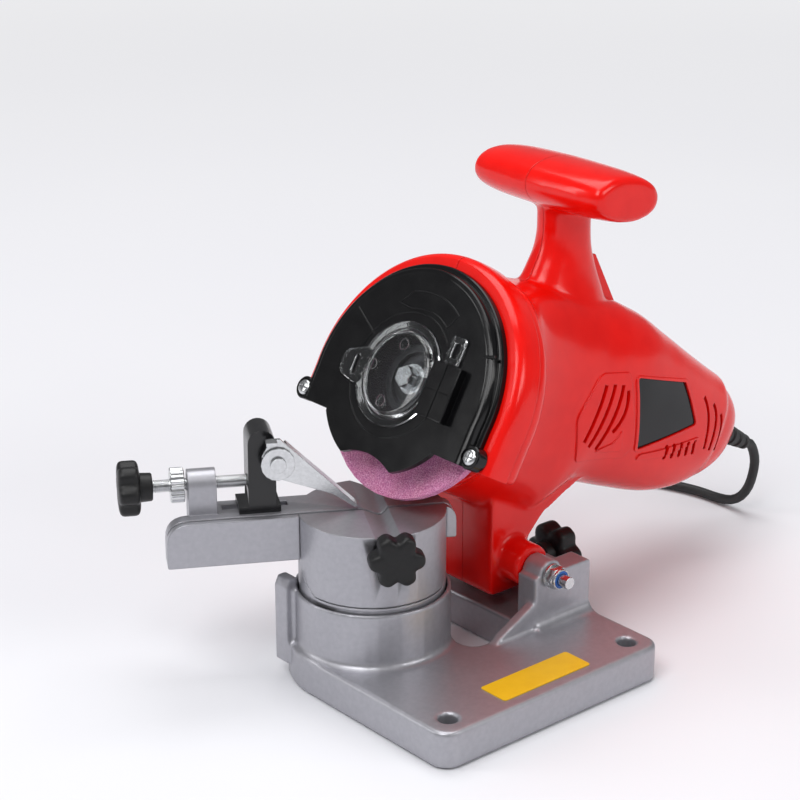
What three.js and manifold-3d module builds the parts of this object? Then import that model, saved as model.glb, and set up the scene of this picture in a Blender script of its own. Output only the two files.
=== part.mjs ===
// Bench-top electric chain sharpener: cast base with a swivelling vice, and a tilting grinding head.
// Millimetres, +Z up. The origin is the vice's swivel axis on the underside of the base, the chain
// runs along X when the vice stands straight, and the head hinges about an axis parallel to Y.
import * as THREE from 'three';
import { mergeVertices } from 'three/addons/utils/BufferGeometryUtils.js';
import Module from 'manifold-3d';

const wasm = await Module();
wasm.setup();

// Clearances, overruns and facet counts
const gap = {
  seat: 0.3, // between pieces that touch
  label: 0.05, // under a stuck-on label
  seam: 0.1, // half the gap at the housing's split line
  over: 2, // how far a cutting tool runs past the face that it cuts
  reach: 400, // a length beyond the whole machine
  weld: 1e-4, // corners nearer than this are one corner
};
const sides = { fine: 40, round: 26, medium: 16, small: 10, tiny: 6 };

// Base casting
const base = {
  front: 94.4, left: 39.1, right: 95.6, rear: 52, height: 17.6, corner: 9, bevel: 1,
  skin: 5, wall: 5, hole: 4.5, holeLeft: 26.6, holeRight: 83.7, holeFront: 82.2, holePad: 9,
  windowLeft: 24.6, windowRight: 58.6, windowHalf: 41.5, windowCorner: 10, foot: 2,
};
const cup = { radius: 36.3, wall: 1.8, rim: 44.5, floor: 18, fillet: 2.6, lip: 0.6 };
const scalePad = { left: 37, right: 30.4, near: 16.8, far: 26, bottom: 8, top: 49.9, slope: 4 };
const ear = { left: 59.8, outer: 46.2, inner: 34.1, top: 43.3, boss: 7.3, corner: 1.5, fillet: 6 };
const gusset = { left: 33.8, top: 31, thick: 5 };
const crossWall = { left: 86, top: 36, boss: 8, bossOut: 1.2 };
const hinge = { x: 69.6, z: 42.8, bolt: 3, washer: 6, washerThick: 1.4, nut: 5.77, nutLong: 5.4, stub: 5,
  headLong: 4 };
const depth = {
  z: 24.5, screw: 2.9, knobLeft: 107, hubLong: 5, knobLong: 12, knob: 15, lobe: 3.2, hub: 7, ring: 11.4,
  ringDeep: 8,
};
const sticker = { left: 1.9, right: 54.9, near: 87.7, far: 71.6, thick: 0.4, corner: 1.5 };

// Swivelling vice: drum, rail, jaws
const swivelAngle = -30 * Math.PI / 180; // as the vice stands in the picture
const drum = { radius: 33.9, step: 0.2, top: 81.2, wall: 6, hollowTop: 42, boss: 9, pocketTop: 70,
  pocketFront: 7 };
const swivel = { bolt: 4, into: 50, headRadius: 7.5, headLong: 4.6, washer: 8.6, washerThick: 1.5,
  recess: 9.4, recessDeep: 6.7 };
const rail = {
  high: 21, front: 4, back: 7, left: 93.5, right: 38.4, corner: 11, stub: 15.6, edge: 1,
  shelfBack: 20.5, shelfThick: 9, shelfRight: 25,
};
const groove = { half: 0.8, deep: 6 }; // for the chain's drive tangs
const jaw = { bottom: 47, split: 1.3, bend: 59, slope: 16, spotDeep: 3.5, spot: 9 };
const notch = { half: 9, low: 4, deep: 3.8, corner: 3 };
const clamp = { x: 3.4, z: 74.4, screw: 2.9, knob: 12.6, lobe: 3, knobLong: 10.5, hub: 6.5, hubLong: 5,
  into: 16, sunk: 1.8 };

// Chain stop on the rail
const stop = { y: 13, z: 93.9, screw: 2.9 };
const lug = { left: 82.3, right: 69.6, radius: 7 };
const stopKnob = { left: 113.6, face: 103.4, hubEnd: 98, radius: 12.6, lobe: 2.4, hub: 6.4 };
const lockNut = { left: 90, long: 6.3, radius: 8, lobe: 0.5 };
const post = {
  left: 55.5, width: 12.5, top: 121, front: 3.4, back: 20, wall: 2.5, footHigh: 3, footOut: 4.5, boss: 5.4,
  bossLong: 4, ear: 7, earThick: 3, tongueHalf: 2, tongueDeep: 2.4, slotLeft: 67, slotRight: 37, slotDeep: 3,
};
const pawl = {
  x: 42.8, z: 107, hub: 7, thick: 1.6, front: 0.4, flange: 5.4, topX: 41.6, topZ: 118.5, tipX: 6.8, tipZ: 84,
  tipLow: 2.4, kneeX: 18, kneeZ: 90.4, curl: 4, pin: 2.5, pinHead: 3.6, pinHeadLong: 1.4, washer: 7.7,
  washerThick: 1.2, flangeStart: 4.5, // so that the flange clears the bracket when the pawl lifts
};

// Grinding head: u runs along the spindle towards the motor, v across it
const spindleTilt = 30 * Math.PI / 180;
const wheelPlace = { x: 31, z: 133.6 };
const wheel = { radius: 54, thick: 3.2, bore: 11.1, label: 17 };
const guard = {
  radius: 65.5, drop: 4.5, front: 9, back: 14, bottom: 27, straight: 9.5, step: 4.5, stepDeep: 0.5,
    frontRadius: 62.2,
  chamberWall: 3, chamberBack: 7.5, lip: 2.2, lipWide: 4.6,
};
const cover = {
  front: 16.5, back: 9, radius: 58, face: 51, rim: 55, faceThick: 2.6, wall: 6, lugY: 57.3, lugV: 22.1,
    lugRadius: 5.4,
  lugFront: 15.1, screw: 2.1, screwLong: 13, screwHead: 3.8, screwHeadLong: 2, screwSink: 1.2, round: 1.2,
};
const apron = { side: 36.8, radius: 45.6, lobe: 16.8, lobeLow: 42.3, middleLow: 38.3, top: 26 };
const eye = {
  y: 0.8, v: -0.2, hole: 21.5, rim: 24.7, rimThick: 1.4, dome: 19.6, domeOut: 2.6, wall: 1.2, tab: 8,
    tabTip: 5,
  tabOut: 31.5, tabLow: 3.5, spigot: 2.1,
};
const clip = { y: 28.2, v: 12.4, wide: 8, high: 12.5, thick: 1.6 };
const latchBlock = { left: 21, right: 38.5, low: 13.5, high: 11.8, thick: 4.2, lineHalf: 0.25,
  lineDeep: 0.5 };
const body = { start: 8, end: 214, half: 34, top: 73, bottom: 43, wall: 2.6 };
const arm = { left: 56, right: 78.6, half: 20, bottom: 25.4, wall: 3, barrel: 10.4, tube: 7, heelLow: 5.4,
  heelLeft: 71, heelHalf: 7 };
const neck = { x: 118, bottom: 148, top: 205, half: 13.5, wide: 11, wall: 2.6, squareShare: 2.2 };
const bar = { x: 116, z: 213.5, near: 44, far: 40, long: 24, high: 12.5, slope: 0.18, squareShare: 2.1 };

// Drive train inside the head
const gearPair = { unit: 1.5, teeth: 32, pinionTeeth: 7, thick: 8, play: 0.5, start: 20, topShare: 0.62,
  rootShare: 1.1 };
const shaft = { radius: 5, armature: 4, front: 7.4, rear: 38, pinionStart: 19, pinionBore: 2.8,
  armatureRear: 126 };
const flange = { radius: 16, boss: 10.8, front: 5.4, back: 5, bore: 5.3 };
const hubBolt = { head: 5, headLong: 4.8, washer: 7, washerThick: 1.2, shank: 2.5, into: 16 };
const bearing = {
  front: { start: 9.4, long: 8, outer: 13 }, rear: { start: 30, long: 7, outer: 11 },
  motorFront: { start: 30, long: 7, outer: 11 }, motorRear: { start: 119, long: 6, outer: 9.5 },
};
const motor = {
  v: gearPair.unit * (gearPair.teeth + gearPair.pinionTeeth) / 2, stackStart: 56, stackEnd: 92, stack: 16.3,
    airGap: 0.7, yoke: 26.5, coilOut: 4, coilThick: 5,
  fanStart: 40, fanLong: 8, fan: 23, fanHub: 8, blade: 0.8, blades: 12, coilIn: 1.6, coilSpread: 0.9,
    commutatorStart: 101, commutatorLong: 12, commutator: 10,
  winding: 14, windingLong: 5, brushLong: 13, brush: 4, brushU: 107,
};
const boss = { radius: 5, head: 3.4, headLong: 2.4, shank: 1.5, deep: 9, nearDeep: 10 };
const trigger = { corner: 1, half: 4.6, left: 131, top: 176, bottom: 147, topOut: 135, lowOut: 149,
  slant: 1.2, rise: 18, pivotX: 146, pivotZ: 151.5, travel: 4 * Math.PI / 180, roomSteps: 2 };
const module = { left: 113, right: 128, bottom: 157.4, top: 175, half: 6.5, shelf: 2.4 };
const plate = { thick: 0.9, sink: 0.8, frame: 1.6, rise: 0.6, corner: 1.5 };
const plateCorners = [[102.3, 42.3], [137.6, 51.3], [157.4, 33.5], [121.7, 10]]; // u, v
const louvreCorners = [[75.2, 36.8], [94.2, 42], [113.4, 5.1], [83.4, -7]];
const slotLine = [[137, 9.5], [163, 27]];
const louvreShares = { first: 0.6, edge: 0.2, top: 0.08, low: 0.94 };
const vent = {
  louvres: 4, louvre: 2.6, bow: 1.6, small: 5, smallHalf: 2.6, smallWide: 1.8, tail: 3, tailStart: 172,
    tailStep: 8.5,
  tailLean: 5, tailHigh: 50, tailDrop: 3, tailLow: 20, tailWide: 2.2, tailBow: 1.5, depth: 9,
};
const rib = { thick: 1.2, wide: 4, free: 1.2, stator: [60, 84] };
const boot = { start: 203.5, tip: 240, v: 37.6, collar: 8, collarLong: 2.4, root: 6.4, end: 3.9,
  groove: 0.8, hole: 6.8, rings: 4 };
const grooveShares = [0.3, 0.75];
const cord = { radius: 2.6, loops: 4, layers: 2, middle: 31, spacing: 5.8, coilX: 290, coilY: 122, lead: 34,
  straight: 5.6, floor: 2.8 };
const cordShares = { climb: 0.5, fallStart: 0.45, fall: 0.4 }; // of a turn, and of the lead
const coilStart = Math.PI / 2;
const routePoints = [
  [262.6, 0, 43.9], [265.9, 0, 38.7], [267.8, 0.2, 32], [268, 1.2, 24.5], [268.1, 3.6, 16.6], [268.2, 8.4,
    9.3],
  [268.3, 15.4, 4.6], [268.4, 24.5, 2.8], [267, 38, 2.8], [263, 52, 2.8], [257, 66, 2.8], [251.2, 80, 2.8],
  [246.9, 94, 2.8], [244.7, 108, 2.8], [244.5, 122, 2.8], [248.4, 139.2, 2.8], [257.5, 152.5, 2.8],
  [268.5, 160.7, 2.8],
];
const plug = { wide: 35, high: 13.4, long: 34, rear: 16, pin: 2, pinLong: 19, pinApart: 9, chamfer: 3 };

// Solids from closed geometries and back
function solidOf(item) {
  if (!item.isBufferGeometry) return item;
  const bare = item.index ? item.toNonIndexed() : item.clone();
  bare.deleteAttribute('normal');
  bare.deleteAttribute('uv');
  const merged = mergeVertices(bare, gap.weld);
  return new wasm.Manifold(new wasm.Mesh({
    numProp: 3,
    vertProperties: new Float32Array(merged.attributes.position.array),
    triVerts: new Uint32Array(merged.index.array),
  }));
}

function geometryOf(item) {
  if (item.isBufferGeometry) return item;
  const mesh = item.getMesh();
  const geometry = new THREE.BufferGeometry();
  geometry.setAttribute('position', new THREE.BufferAttribute(mesh.vertProperties, 3));
  geometry.setIndex(new THREE.BufferAttribute(mesh.triVerts, 1));
  geometry.computeVertexNormals();
  return geometry;
}

const join = (first, ...rest) => rest.reduce((whole, item) => whole.add(solidOf(item)), solidOf(first));
const cut = (first, ...rest) => rest.reduce((whole, item) => whole.subtract(solidOf(item)), solidOf(first));
const common = (first, second) => solidOf(first).intersect(solidOf(second));

// Shape helpers
function block(x0, x1, y0, y1, z0, z1) {
  const box = new THREE.BoxGeometry(x1 - x0, y1 - y0, z1 - z0);
  return box.translate((x0 + x1) / 2, (y0 + y1) / 2, (z0 + z1) / 2);
}

const turnTo = {
  x: new THREE.Matrix4().makeRotationZ(-Math.PI / 2),
  y: new THREE.Matrix4(),
  z: new THREE.Matrix4().makeRotationX(Math.PI / 2),
};

// A cylinder or cone along an axis; the place gives the two other coordinates
function rod(axis, radius, from, to, place = [0, 0], count = sides.medium, endRadius = radius) {
  const round = new THREE.CylinderGeometry(endRadius, radius, to - from, count);
  round.translate(0, (from + to) / 2, 0).applyMatrix4(turnTo[axis]);
  if (axis === 'x') return round.translate(0, place[0], place[1]);
  if (axis === 'y') return round.translate(place[0], 0, place[1]);
  return round.translate(place[0], place[1], 0);
}

// A turned piece: profile points are [radius, place along the axis]
function turned(axis, profile, place = [0, 0], count = sides.medium) {
  const points = profile.map(([radius, along]) => new THREE.Vector2(radius, along));
  const round = new THREE.LatheGeometry(points, count).applyMatrix4(turnTo[axis]);
  if (axis === 'x') return round.translate(0, place[0], place[1]);
  if (axis === 'y') return round.translate(place[0], 0, place[1]);
  return round.translate(place[0], place[1], 0);
}

function slab(shape, long, curveSegments = sides.tiny, bevel = 0) {
  return new THREE.ExtrudeGeometry(shape, {
    depth: long, curveSegments, bevelEnabled: bevel > 0, bevelThickness: bevel, bevelSize: bevel,
      bevelOffset: -bevel,
    bevelSegments: 1,
  });
}

const slabZ = (shape, z0, z1, curves) => slab(shape, z1 - z0, curves).translate(0, 0, z0);
const slabY = (shape, y0, y1, curves) => slab(shape, y1 - y0, curves).rotateX(Math.PI / 2).translate(0, y1,
  0);
const acrossX = new THREE.Matrix4().makeBasis(
  new THREE.Vector3(0, 1, 0), new THREE.Vector3(0, 0, 1), new THREE.Vector3(1, 0, 0));
const slabX = (shape, x0, x1, curves) => slab(shape, x1 - x0, curves).applyMatrix4(acrossX).translate(x0, 0,
  0);

// A closed polygon whose corners are rounded: each corner is [x, y, radius]
const cornerShare = 0.49; // of an edge that one corner may take

function rounded(corners) {
  const shape = new THREE.Shape();
  const count = corners.length;
  corners.forEach(([x, y, radius = 0], i) => {
    const [px, py] = corners[(i + count - 1) % count];
    const [nx, ny] = corners[(i + 1) % count];
    const before = Math.hypot(px - x, py - y);
    const after = Math.hypot(nx - x, ny - y);
    const turn = Math.acos(((px - x) * (nx - x) + (py - y) * (ny - y)) / (before * after));
    const reach = radius === 0 ? 0 : Math.min(radius / Math.tan(turn / 2), before * cornerShare,
      after * cornerShare);
    const start = [x + (px - x) * reach / before, y + (py - y) * reach / before];
    const end = [x + (nx - x) * reach / after, y + (ny - y) * reach / after];
    if (i === 0) shape.moveTo(...start);
    else shape.lineTo(...start);
    if (reach > 0) shape.quadraticCurveTo(x, y, ...end);
  });
  shape.closePath();
  return shape;
}

function disc(x, y, radius) {
  const shape = new THREE.Shape();
  shape.absarc(x, y, radius, 0, Math.PI * 2);
  return shape;
}

// A body through rings of points, closed by a fan at each end
function loft(rings) {
  const positions = [];
  const count = rings[0].length;
  const tri = (a, b, c) => positions.push(a.x, a.y, a.z, b.x, b.y, b.z, c.x, c.y, c.z);
  const middle = ring => ring.reduce((sum, p) => sum.add(p), new THREE.Vector3()).divideScalar(count);
  for (let i = 0; i + 1 < rings.length; i += 1) {
    for (let k = 0; k < count; k += 1) {
      const [a, b] = [rings[i][k], rings[i][(k + 1) % count]];
      const [c, d] = [rings[i + 1][k], rings[i + 1][(k + 1) % count]];
      tri(a, b, d);
      tri(a, d, c);
    }
  }
  const first = rings[0];
  const last = rings[rings.length - 1];
  const [start, end] = [middle(first), middle(last)];
  for (let k = 0; k < count; k += 1) {
    tri(start, first[(k + 1) % count], first[k]);
    tri(end, last[k], last[(k + 1) % count]);
  }
  const geometry = new THREE.BufferGeometry();
  geometry.setAttribute('position', new THREE.Float32BufferAttribute(positions, 3));
  if (volumeOf(geometry) < 0) {
    for (let i = 0; i < positions.length; i += 9) {
      for (let k = 0; k < 3; k += 1) {
        [positions[i + 3 + k], positions[i + 6 + k]] = [positions[i + 6 + k], positions[i + 3 + k]];
      }
    }
    geometry.setAttribute('position', new THREE.Float32BufferAttribute(positions, 3));
  }
  geometry.computeVertexNormals();
  return geometry;
}

function volumeOf(geometry) {
  const place = geometry.attributes.position;
  const [a, b, c] = [new THREE.Vector3(), new THREE.Vector3(), new THREE.Vector3()];
  let volume = 0;
  for (let i = 0; i < place.count; i += 3) {
    a.fromBufferAttribute(place, i);
    b.fromBufferAttribute(place, i + 1);
    c.fromBufferAttribute(place, i + 2);
    volume += a.dot(b.cross(c)) / 6;
  }
  return volume;
}

// One ring of a superellipse: half width, top and bottom, and how square it is
function squareness(value, power) {
  return Math.sign(value) * Math.abs(value) ** (2 / power);
}

function ring(u, half, top, bottom, power, count) {
  const points = [];
  for (let k = 0; k < count; k += 1) {
    const angle = (k + 0.5) / count * Math.PI * 2;
    const y = half * squareness(Math.cos(angle), power);
    const v = (top + bottom) / 2 + (top - bottom) / 2 * squareness(Math.sin(angle), power);
    points.push(new THREE.Vector3(u, y, v));
  }
  return points;
}

const machine = new THREE.Group();
const table = new THREE.Group();
const head = new THREE.Group();
machine.add(table, head);
table.rotation.z = swivelAngle;
head.rotation.y = spindleTilt;
head.position.set(wheelPlace.x, 0, wheelPlace.z);
head.updateMatrix();

const finish = (color, roughness, metalness, extra = {}) =>
  new THREE.MeshStandardMaterial({ color, roughness, metalness, ...extra });
const cast = finish(0xa9a8ae, 0.45, 0.6);
const redPlastic = finish(0xe10a05, 0.25, 0);
const blackPlastic = finish(0x101012, 0.3, 0);
const knobPlastic = finish(0x17171a, 0.6, 0);
const steel = finish(0xb9bcc0, 0.3, 0.9);
const clear = finish(0xdfe8ea, 0.08, 0, { transparent: true, opacity: 0.35 });
const abrasive = finish(0xcd6ea5, 0.95, 0);
const brass = finish(0xc8a04a, 0.35, 0.9);
const copper = finish(0xb06a3a, 0.4, 0.8);
const laminations = finish(0x6d6f73, 0.5, 0.7);
const rubber = finish(0x0d0d0e, 0.7, 0);
const yellowLabel = finish(0xf2c21a, 0.5, 0);
const blackLabel = finish(0x0b0b0c, 0.2, 0);

function node(name, item, material, group = machine) {
  const mesh = new THREE.Mesh(geometryOf(item), material);
  mesh.name = name;
  group.add(mesh);
  return mesh;
}

// Shared pieces: hex heads, washers, lobed knobs
const hexRod = (axis, radius, from, to, place) => rod(axis, radius, from, to, place, 6);

function washer(axis, hole, radius, from, to, place) {
  return cut(rod(axis, radius, from, to, place, sides.medium),
    rod(axis, hole + gap.seat, from - gap.over, to + gap.over, place, sides.small));
}

function lobedShape(radius, lobes, deep, pointsPerLobe = 6) {
  const shape = new THREE.Shape();
  const steps = lobes * pointsPerLobe;
  for (let k = 0; k < steps; k += 1) {
    const angle = k / steps * Math.PI * 2;
    const reach = radius - deep * (1 - Math.cos(angle * lobes)) / 2;
    if (k === 0) shape.moveTo(reach, 0);
    else shape.lineTo(reach * Math.cos(angle), reach * Math.sin(angle));
  }
  shape.closePath();
  return shape;
}

// Base casting: plate, cup, hinge ears, ribs
const cupBore = cup.radius - cup.wall;
const footShare = 0.35;
const rearCurveShares = [0.35, 0.12];
const rearMeet = 123 * Math.PI / 180;

function plateShape(inset) {
  const [left, right] = [-base.left + inset, base.right - inset];
  const [front, rear] = [-base.front + inset, base.rear - inset];
  const corner = base.corner - inset / 2;
  const foot = base.left - inset;
  const shape = new THREE.Shape();
  shape.moveTo(left, 0);
  shape.lineTo(left, front + corner);
  shape.absarc(left + corner, front + corner, corner, Math.PI, Math.PI * 1.5);
  shape.lineTo(right - corner, front);
  shape.absarc(right - corner, front + corner, corner, -Math.PI / 2, 0);
  shape.lineTo(right, rear - corner);
  shape.absarc(right - corner, rear - corner, corner, 0, Math.PI / 2);
  shape.lineTo(foot * rearCurveShares[0], rear);
  shape.quadraticCurveTo(-foot * rearCurveShares[1], rear, foot * Math.cos(rearMeet),
    foot * Math.sin(rearMeet));
  shape.absarc(0, 0, foot, rearMeet, Math.PI);
  return shape;
}

function windowShape(grow) {
  const [left, right, half] = [base.windowLeft - grow, base.windowRight + grow, base.windowHalf + grow];
  const corner = base.windowCorner;
  return rounded([[left, -half, corner], [right, -half, corner], [right, half, corner], [left, half,
    corner]]);
}

const holePlaces = [[-base.holeLeft, -base.holeFront], [base.holeRight, -base.holeFront]];

function plateHollow() {
  const ceiling = base.height - base.skin;
  const low = -gap.over;
  const high = ceiling + gap.over;
  return cut(slabZ(plateShape(base.wall), low, ceiling),
    rod('z', cupBore, low, high, [0, 0], sides.round),
    slabZ(windowShape(base.wall), low, high),
    ...holePlaces.map(place => rod('z', base.holePad, low, high, place)),
    block(ear.left, base.right, -ear.outer, -ear.inner, low, high),
    block(ear.left, base.right, ear.inner, ear.outer, low, high),
    block(0, base.wall, -base.front, base.rear, low, high));
}

function earAt(from, to) {
  const outline = rounded([[ear.left, 0], [base.right, 0], [base.right, ear.top, ear.corner],
    [ear.left, ear.top, ear.corner]]);
  return join(slabY(outline, from, to), rod('y', ear.boss, from, to, [hinge.x, hinge.z]));
}

function gussetAt(from, to) {
  const root = base.height - gap.over;
  const inEar = ear.left + gap.over;
  return slabY(rounded([[gusset.left, root], [inEar, root], [inEar, gusset.top], [ear.left, gusset.top],
    [gusset.left, base.height]]), from, to);
}

// A concave fillet between the plate's top and an ear's outer face
function earFillet(side) {
  const shape = new THREE.Shape();
  const [face, top] = [ear.outer, base.height];
  shape.moveTo(face - gap.over, top - gap.over);
  shape.lineTo(face + ear.fillet, top - gap.over);
  shape.lineTo(face + ear.fillet, top);
  shape.absarc(face + ear.fillet, top + ear.fillet, ear.fillet, -Math.PI / 2, -Math.PI, true);
  shape.lineTo(face - gap.over, top + ear.fillet);
  shape.closePath();
  const fillet = slabX(shape, ear.left, base.right, sides.tiny / 2);
  return side < 0 ? solidOf(fillet).mirror([0, 1, 0]) : solidOf(fillet);
}

function makeBase() {
  const plate = slab(plateShape(0), base.height - base.bevel * 2, sides.small / 2, base.bevel);
  plate.translate(0, 0, base.bevel);
  const root = base.height - gap.over;
  const foot = turned('z', [[0, root], [base.left, root], [base.left, base.height],
    [cup.radius + cup.fillet * footShare, base.height + cup.fillet * footShare],
    [cup.radius, base.height + cup.fillet], [cup.radius, cup.rim - cup.lip], [cup.radius - cup.lip, cup.rim],
    [0, cup.rim]], [0, 0], sides.fine);
  const crossBack = base.right + crossWall.bossOut;
  const cross = join(
    block(crossWall.left, base.right, -ear.inner - gap.over, ear.inner + gap.over, root, crossWall.top),
    rod('x', crossWall.boss, crossWall.left - crossWall.bossOut, crossBack, [0, depth.z]));
  const pad = slabY(rounded([[-scalePad.left, scalePad.bottom], [-scalePad.right, scalePad.bottom],
    [-scalePad.right, scalePad.top], [-scalePad.left + scalePad.slope / 2, scalePad.top],
    [-scalePad.left, scalePad.top - scalePad.slope]]), scalePad.near, scalePad.far);
  const whole = join(cut(plate, plateHollow()), foot, earAt(-ear.outer, -ear.inner), earAt(ear.inner,
    ear.outer),
    gussetAt(-ear.outer, -ear.outer + gusset.thick), gussetAt(ear.outer - gusset.thick, ear.outer),
    earFillet(-1), earFillet(1), cross, pad);
  node('base_casting', cut(whole,
    slabZ(windowShape(0), -gap.over, base.height + gap.over),
    rod('z', cupBore, cup.floor, gap.reach, [0, 0], sides.fine),
    rod('y', hinge.bolt + gap.seat, -gap.reach, gap.reach, [hinge.x, hinge.z], sides.small),
    rod('x', depth.screw + gap.seat, crossWall.left - gap.over * 2, gap.reach, [0, depth.z], sides.small),
    rod('z', swivel.bolt + gap.seat, -gap.over, cup.floor + gap.over, [0, 0], sides.small),
    rod('z', swivel.recess, -gap.over, swivel.recessDeep, [0, 0]),
    ...holePlaces.map(place => rod('z', base.hole, -gap.over, base.height + gap.over, place))), cast);

  const stickerLow = base.height + gap.label;
  node('sticker_plate', slabZ(rounded([[sticker.left, -sticker.near, sticker.corner],
    [sticker.right, -sticker.near, sticker.corner], [sticker.right, -sticker.far, sticker.corner],
    [sticker.left, -sticker.far, sticker.corner]]), stickerLow, stickerLow + sticker.thick, 3), yellowLabel);
}
makeBase();

function makeHinge() {
  const place = [hinge.x, hinge.z];
  const nearWasher = -ear.outer - gap.seat;
  const nearNut = nearWasher - hinge.washerThick - gap.seat;
  const farWasher = ear.outer + gap.seat;
  const farHead = farWasher + hinge.washerThick + gap.seat;
  node('pivot_bolt', join(
    rod('y', hinge.bolt, nearNut - hinge.nutLong - hinge.stub, farHead + gap.over, place, sides.small),
    hexRod('y', hinge.nut, farHead, farHead + hinge.headLong, place)), steel);
  node('pivot_nut', cut(hexRod('y', hinge.nut, nearNut - hinge.nutLong, nearNut, place),
    rod('y', hinge.bolt + gap.seat, -gap.reach, 0, place, sides.small)), steel);
  node('pivot_washer_near', washer('y', hinge.bolt, hinge.washer, nearWasher - hinge.washerThick,
    nearWasher, place), steel);
  node('pivot_washer_far', washer('y', hinge.bolt, hinge.washer, farWasher, farWasher + hinge.washerThick,
    place), steel);
}
makeHinge();

function makeDepthStop() {
  const start = depth.knobLeft;
  const headStart = start + depth.hubLong - gap.over;
  const end = start + depth.hubLong + depth.knobLong - gap.over;
  const ringCut = cut(rod('x', depth.ring, start, start + depth.ringDeep), rod('x', depth.hub,
    start - gap.over, end));
  const knob = cut(join(slabX(lobedShape(depth.knob, 6, depth.lobe), headStart, end),
    rod('x', depth.hub, start, headStart + gap.over)), ringCut,
  rod('x', depth.screw + gap.seat, start - gap.over, end - gap.over, [0, 0], sides.small));
  node('depth_knob', knob, knobPlastic).position.z = depth.z;
  node('depth_screw', rod('x', depth.screw, arm.right + gap.seat, end - gap.over - gap.seat, [0, depth.z],
    sides.small), steel);
}
makeDepthStop();

function makeSwivelBolt() {
  const washerTop = swivel.recessDeep - gap.seat;
  const headTop = washerTop - swivel.washerThick - gap.seat;
  node('swivel_bolt', join(hexRod('z', swivel.headRadius, headTop - swivel.headLong, headTop),
    rod('z', swivel.bolt, headTop - gap.over, swivel.into, [0, 0], sides.small)), steel);
  node('swivel_washer', washer('z', swivel.bolt, swivel.washer, washerTop - swivel.washerThick, washerTop),
    steel);
}
makeSwivelBolt();

// Turntable: drum, fixed rear jaw, rail, stub and the lug of the chain stop
function jawSpace(grow) {
  const split = -jaw.split + grow;
  const outside = -drum.radius - gap.over * 3;
  const above = drum.top + gap.over * 3;
  const below = jaw.bottom - grow;
  const outline = rounded([[split, above], [split, jaw.bend], [split - jaw.slope, below], [outside, below],
    [outside, above]]);
  return slabX(outline, outside, -outside);
}

function notchCut() {
  const halfWide = drum.radius + gap.over;
  return slabY(rounded([[-notch.half, drum.top + gap.over], [notch.low, drum.top - notch.deep, notch.corner],
    [notch.half, drum.top + gap.over]]), -halfWide, halfWide, 3);
}

function railPiece(left, right, high, leftCorner, rightCorner) {
  const bottom = drum.top - high;
  return slabY(rounded([[left, bottom, rail.edge], [right, bottom, rail.edge], [right, drum.top, rightCorner],
    [left, drum.top, leftCorner]]), -rail.front, rail.back, 6);
}

function makeTable() {
  const drumFoot = cup.floor + gap.seat;
  const step = cup.rim + gap.over / 2;
  const inner = drum.radius - drum.wall;
  const blank = join(rod('z', drum.radius - drum.step, drumFoot, step + gap.over, [0, 0], sides.fine),
    rod('z', drum.radius, step, drum.top, [0, 0], sides.fine));
  const arms = join(
    railPiece(-rail.left, 0, rail.high, rail.corner, rail.edge),
    railPiece(0, rail.right, rail.stub, rail.edge, rail.corner),
    block(-lug.left, -rail.shelfRight, rail.back - gap.over, rail.shelfBack, drum.top - rail.shelfThick,
      drum.top),
    rod('x', lug.radius, -lug.left, -lug.right, [stop.y, stop.z]),
    block(-lug.left, -lug.right, stop.y - lug.radius, stop.y + lug.radius, drum.top - rail.shelfThick,
      stop.z));
  const inDrum = rod('z', drum.radius + gap.seat, 0, gap.reach, [0, 0], sides.fine);
  const pocket = cut(common(rod('z', inner, drumFoot, drum.pocketTop, [0, 0], sides.medium),
    block(-inner, inner, drum.pocketFront, inner, drumFoot - gap.over, drum.pocketTop)),
  rod('z', drum.boss, 0, gap.reach));
  const body = cut(join(cut(blank, jawSpace(gap.seat)), cut(arms, common(jawSpace(gap.seat), inDrum))),
    block(-rail.left - gap.over, rail.right + gap.over, -groove.half, groove.half, drum.top - groove.deep,
      drum.top + gap.over),
    notchCut(),
    cut(rod('z', inner, drumFoot - gap.over, drum.hollowTop), rod('z', drum.boss, 0, gap.reach)),
    pocket,
    rod('x', stop.screw + gap.seat, -lug.left - gap.over, -lug.right + gap.over, [stop.y, stop.z],
      sides.small),
    rod('y', clamp.screw + gap.seat, -drum.radius - gap.over, clamp.into + gap.over, [clamp.x, clamp.z],
      sides.small),
    block(-post.slotLeft, -post.slotRight, stop.y - post.tongueHalf - gap.seat,
      stop.y + post.tongueHalf + gap.seat,
      drum.top - post.slotDeep, drum.top + gap.over),
    rod('z', swivel.bolt + gap.seat, 0, swivel.into + gap.over, [0, 0], sides.small));
  node('turntable', body, cast, table);

  const place = [clamp.x, clamp.z];
  const jawBlank = common(rod('z', drum.radius, jaw.bottom + gap.seat, drum.top, [0, 0], sides.fine),
    jawSpace(0));
  node('front_jaw', cut(jawBlank, notchCut(),
    rod('y', clamp.screw + gap.seat, -drum.radius - gap.over, gap.over, place, sides.small),
    rod('y', jaw.spot, -drum.radius - gap.over, -drum.radius + jaw.spotDeep, place),
    block(-drum.radius, drum.radius, -groove.half, gap.over, drum.top - groove.deep, drum.top + gap.over)),
      cast, table);
}
makeTable();

function makeClamp() {
  const hubEnd = -drum.radius + clamp.sunk;
  const headEnd = hubEnd - clamp.hubLong;
  const face = headEnd - clamp.knobLong;
  const place = [clamp.x, clamp.z];
  const knob = join(slabY(lobedShape(clamp.knob, 6, clamp.lobe), face, headEnd).translate(clamp.x, 0,
    clamp.z),
    rod('y', clamp.hub, headEnd - gap.over, hubEnd, place));
  node('clamp_knob', cut(knob,
    rod('y', clamp.screw + gap.seat, face + clamp.hubLong, hubEnd + gap.over, place, sides.small)),
      knobPlastic, table);
  node('clamp_screw', rod('y', clamp.screw, face + clamp.hubLong + gap.seat, clamp.into, place,
    sides.small), steel, table);
}
makeClamp();

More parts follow.
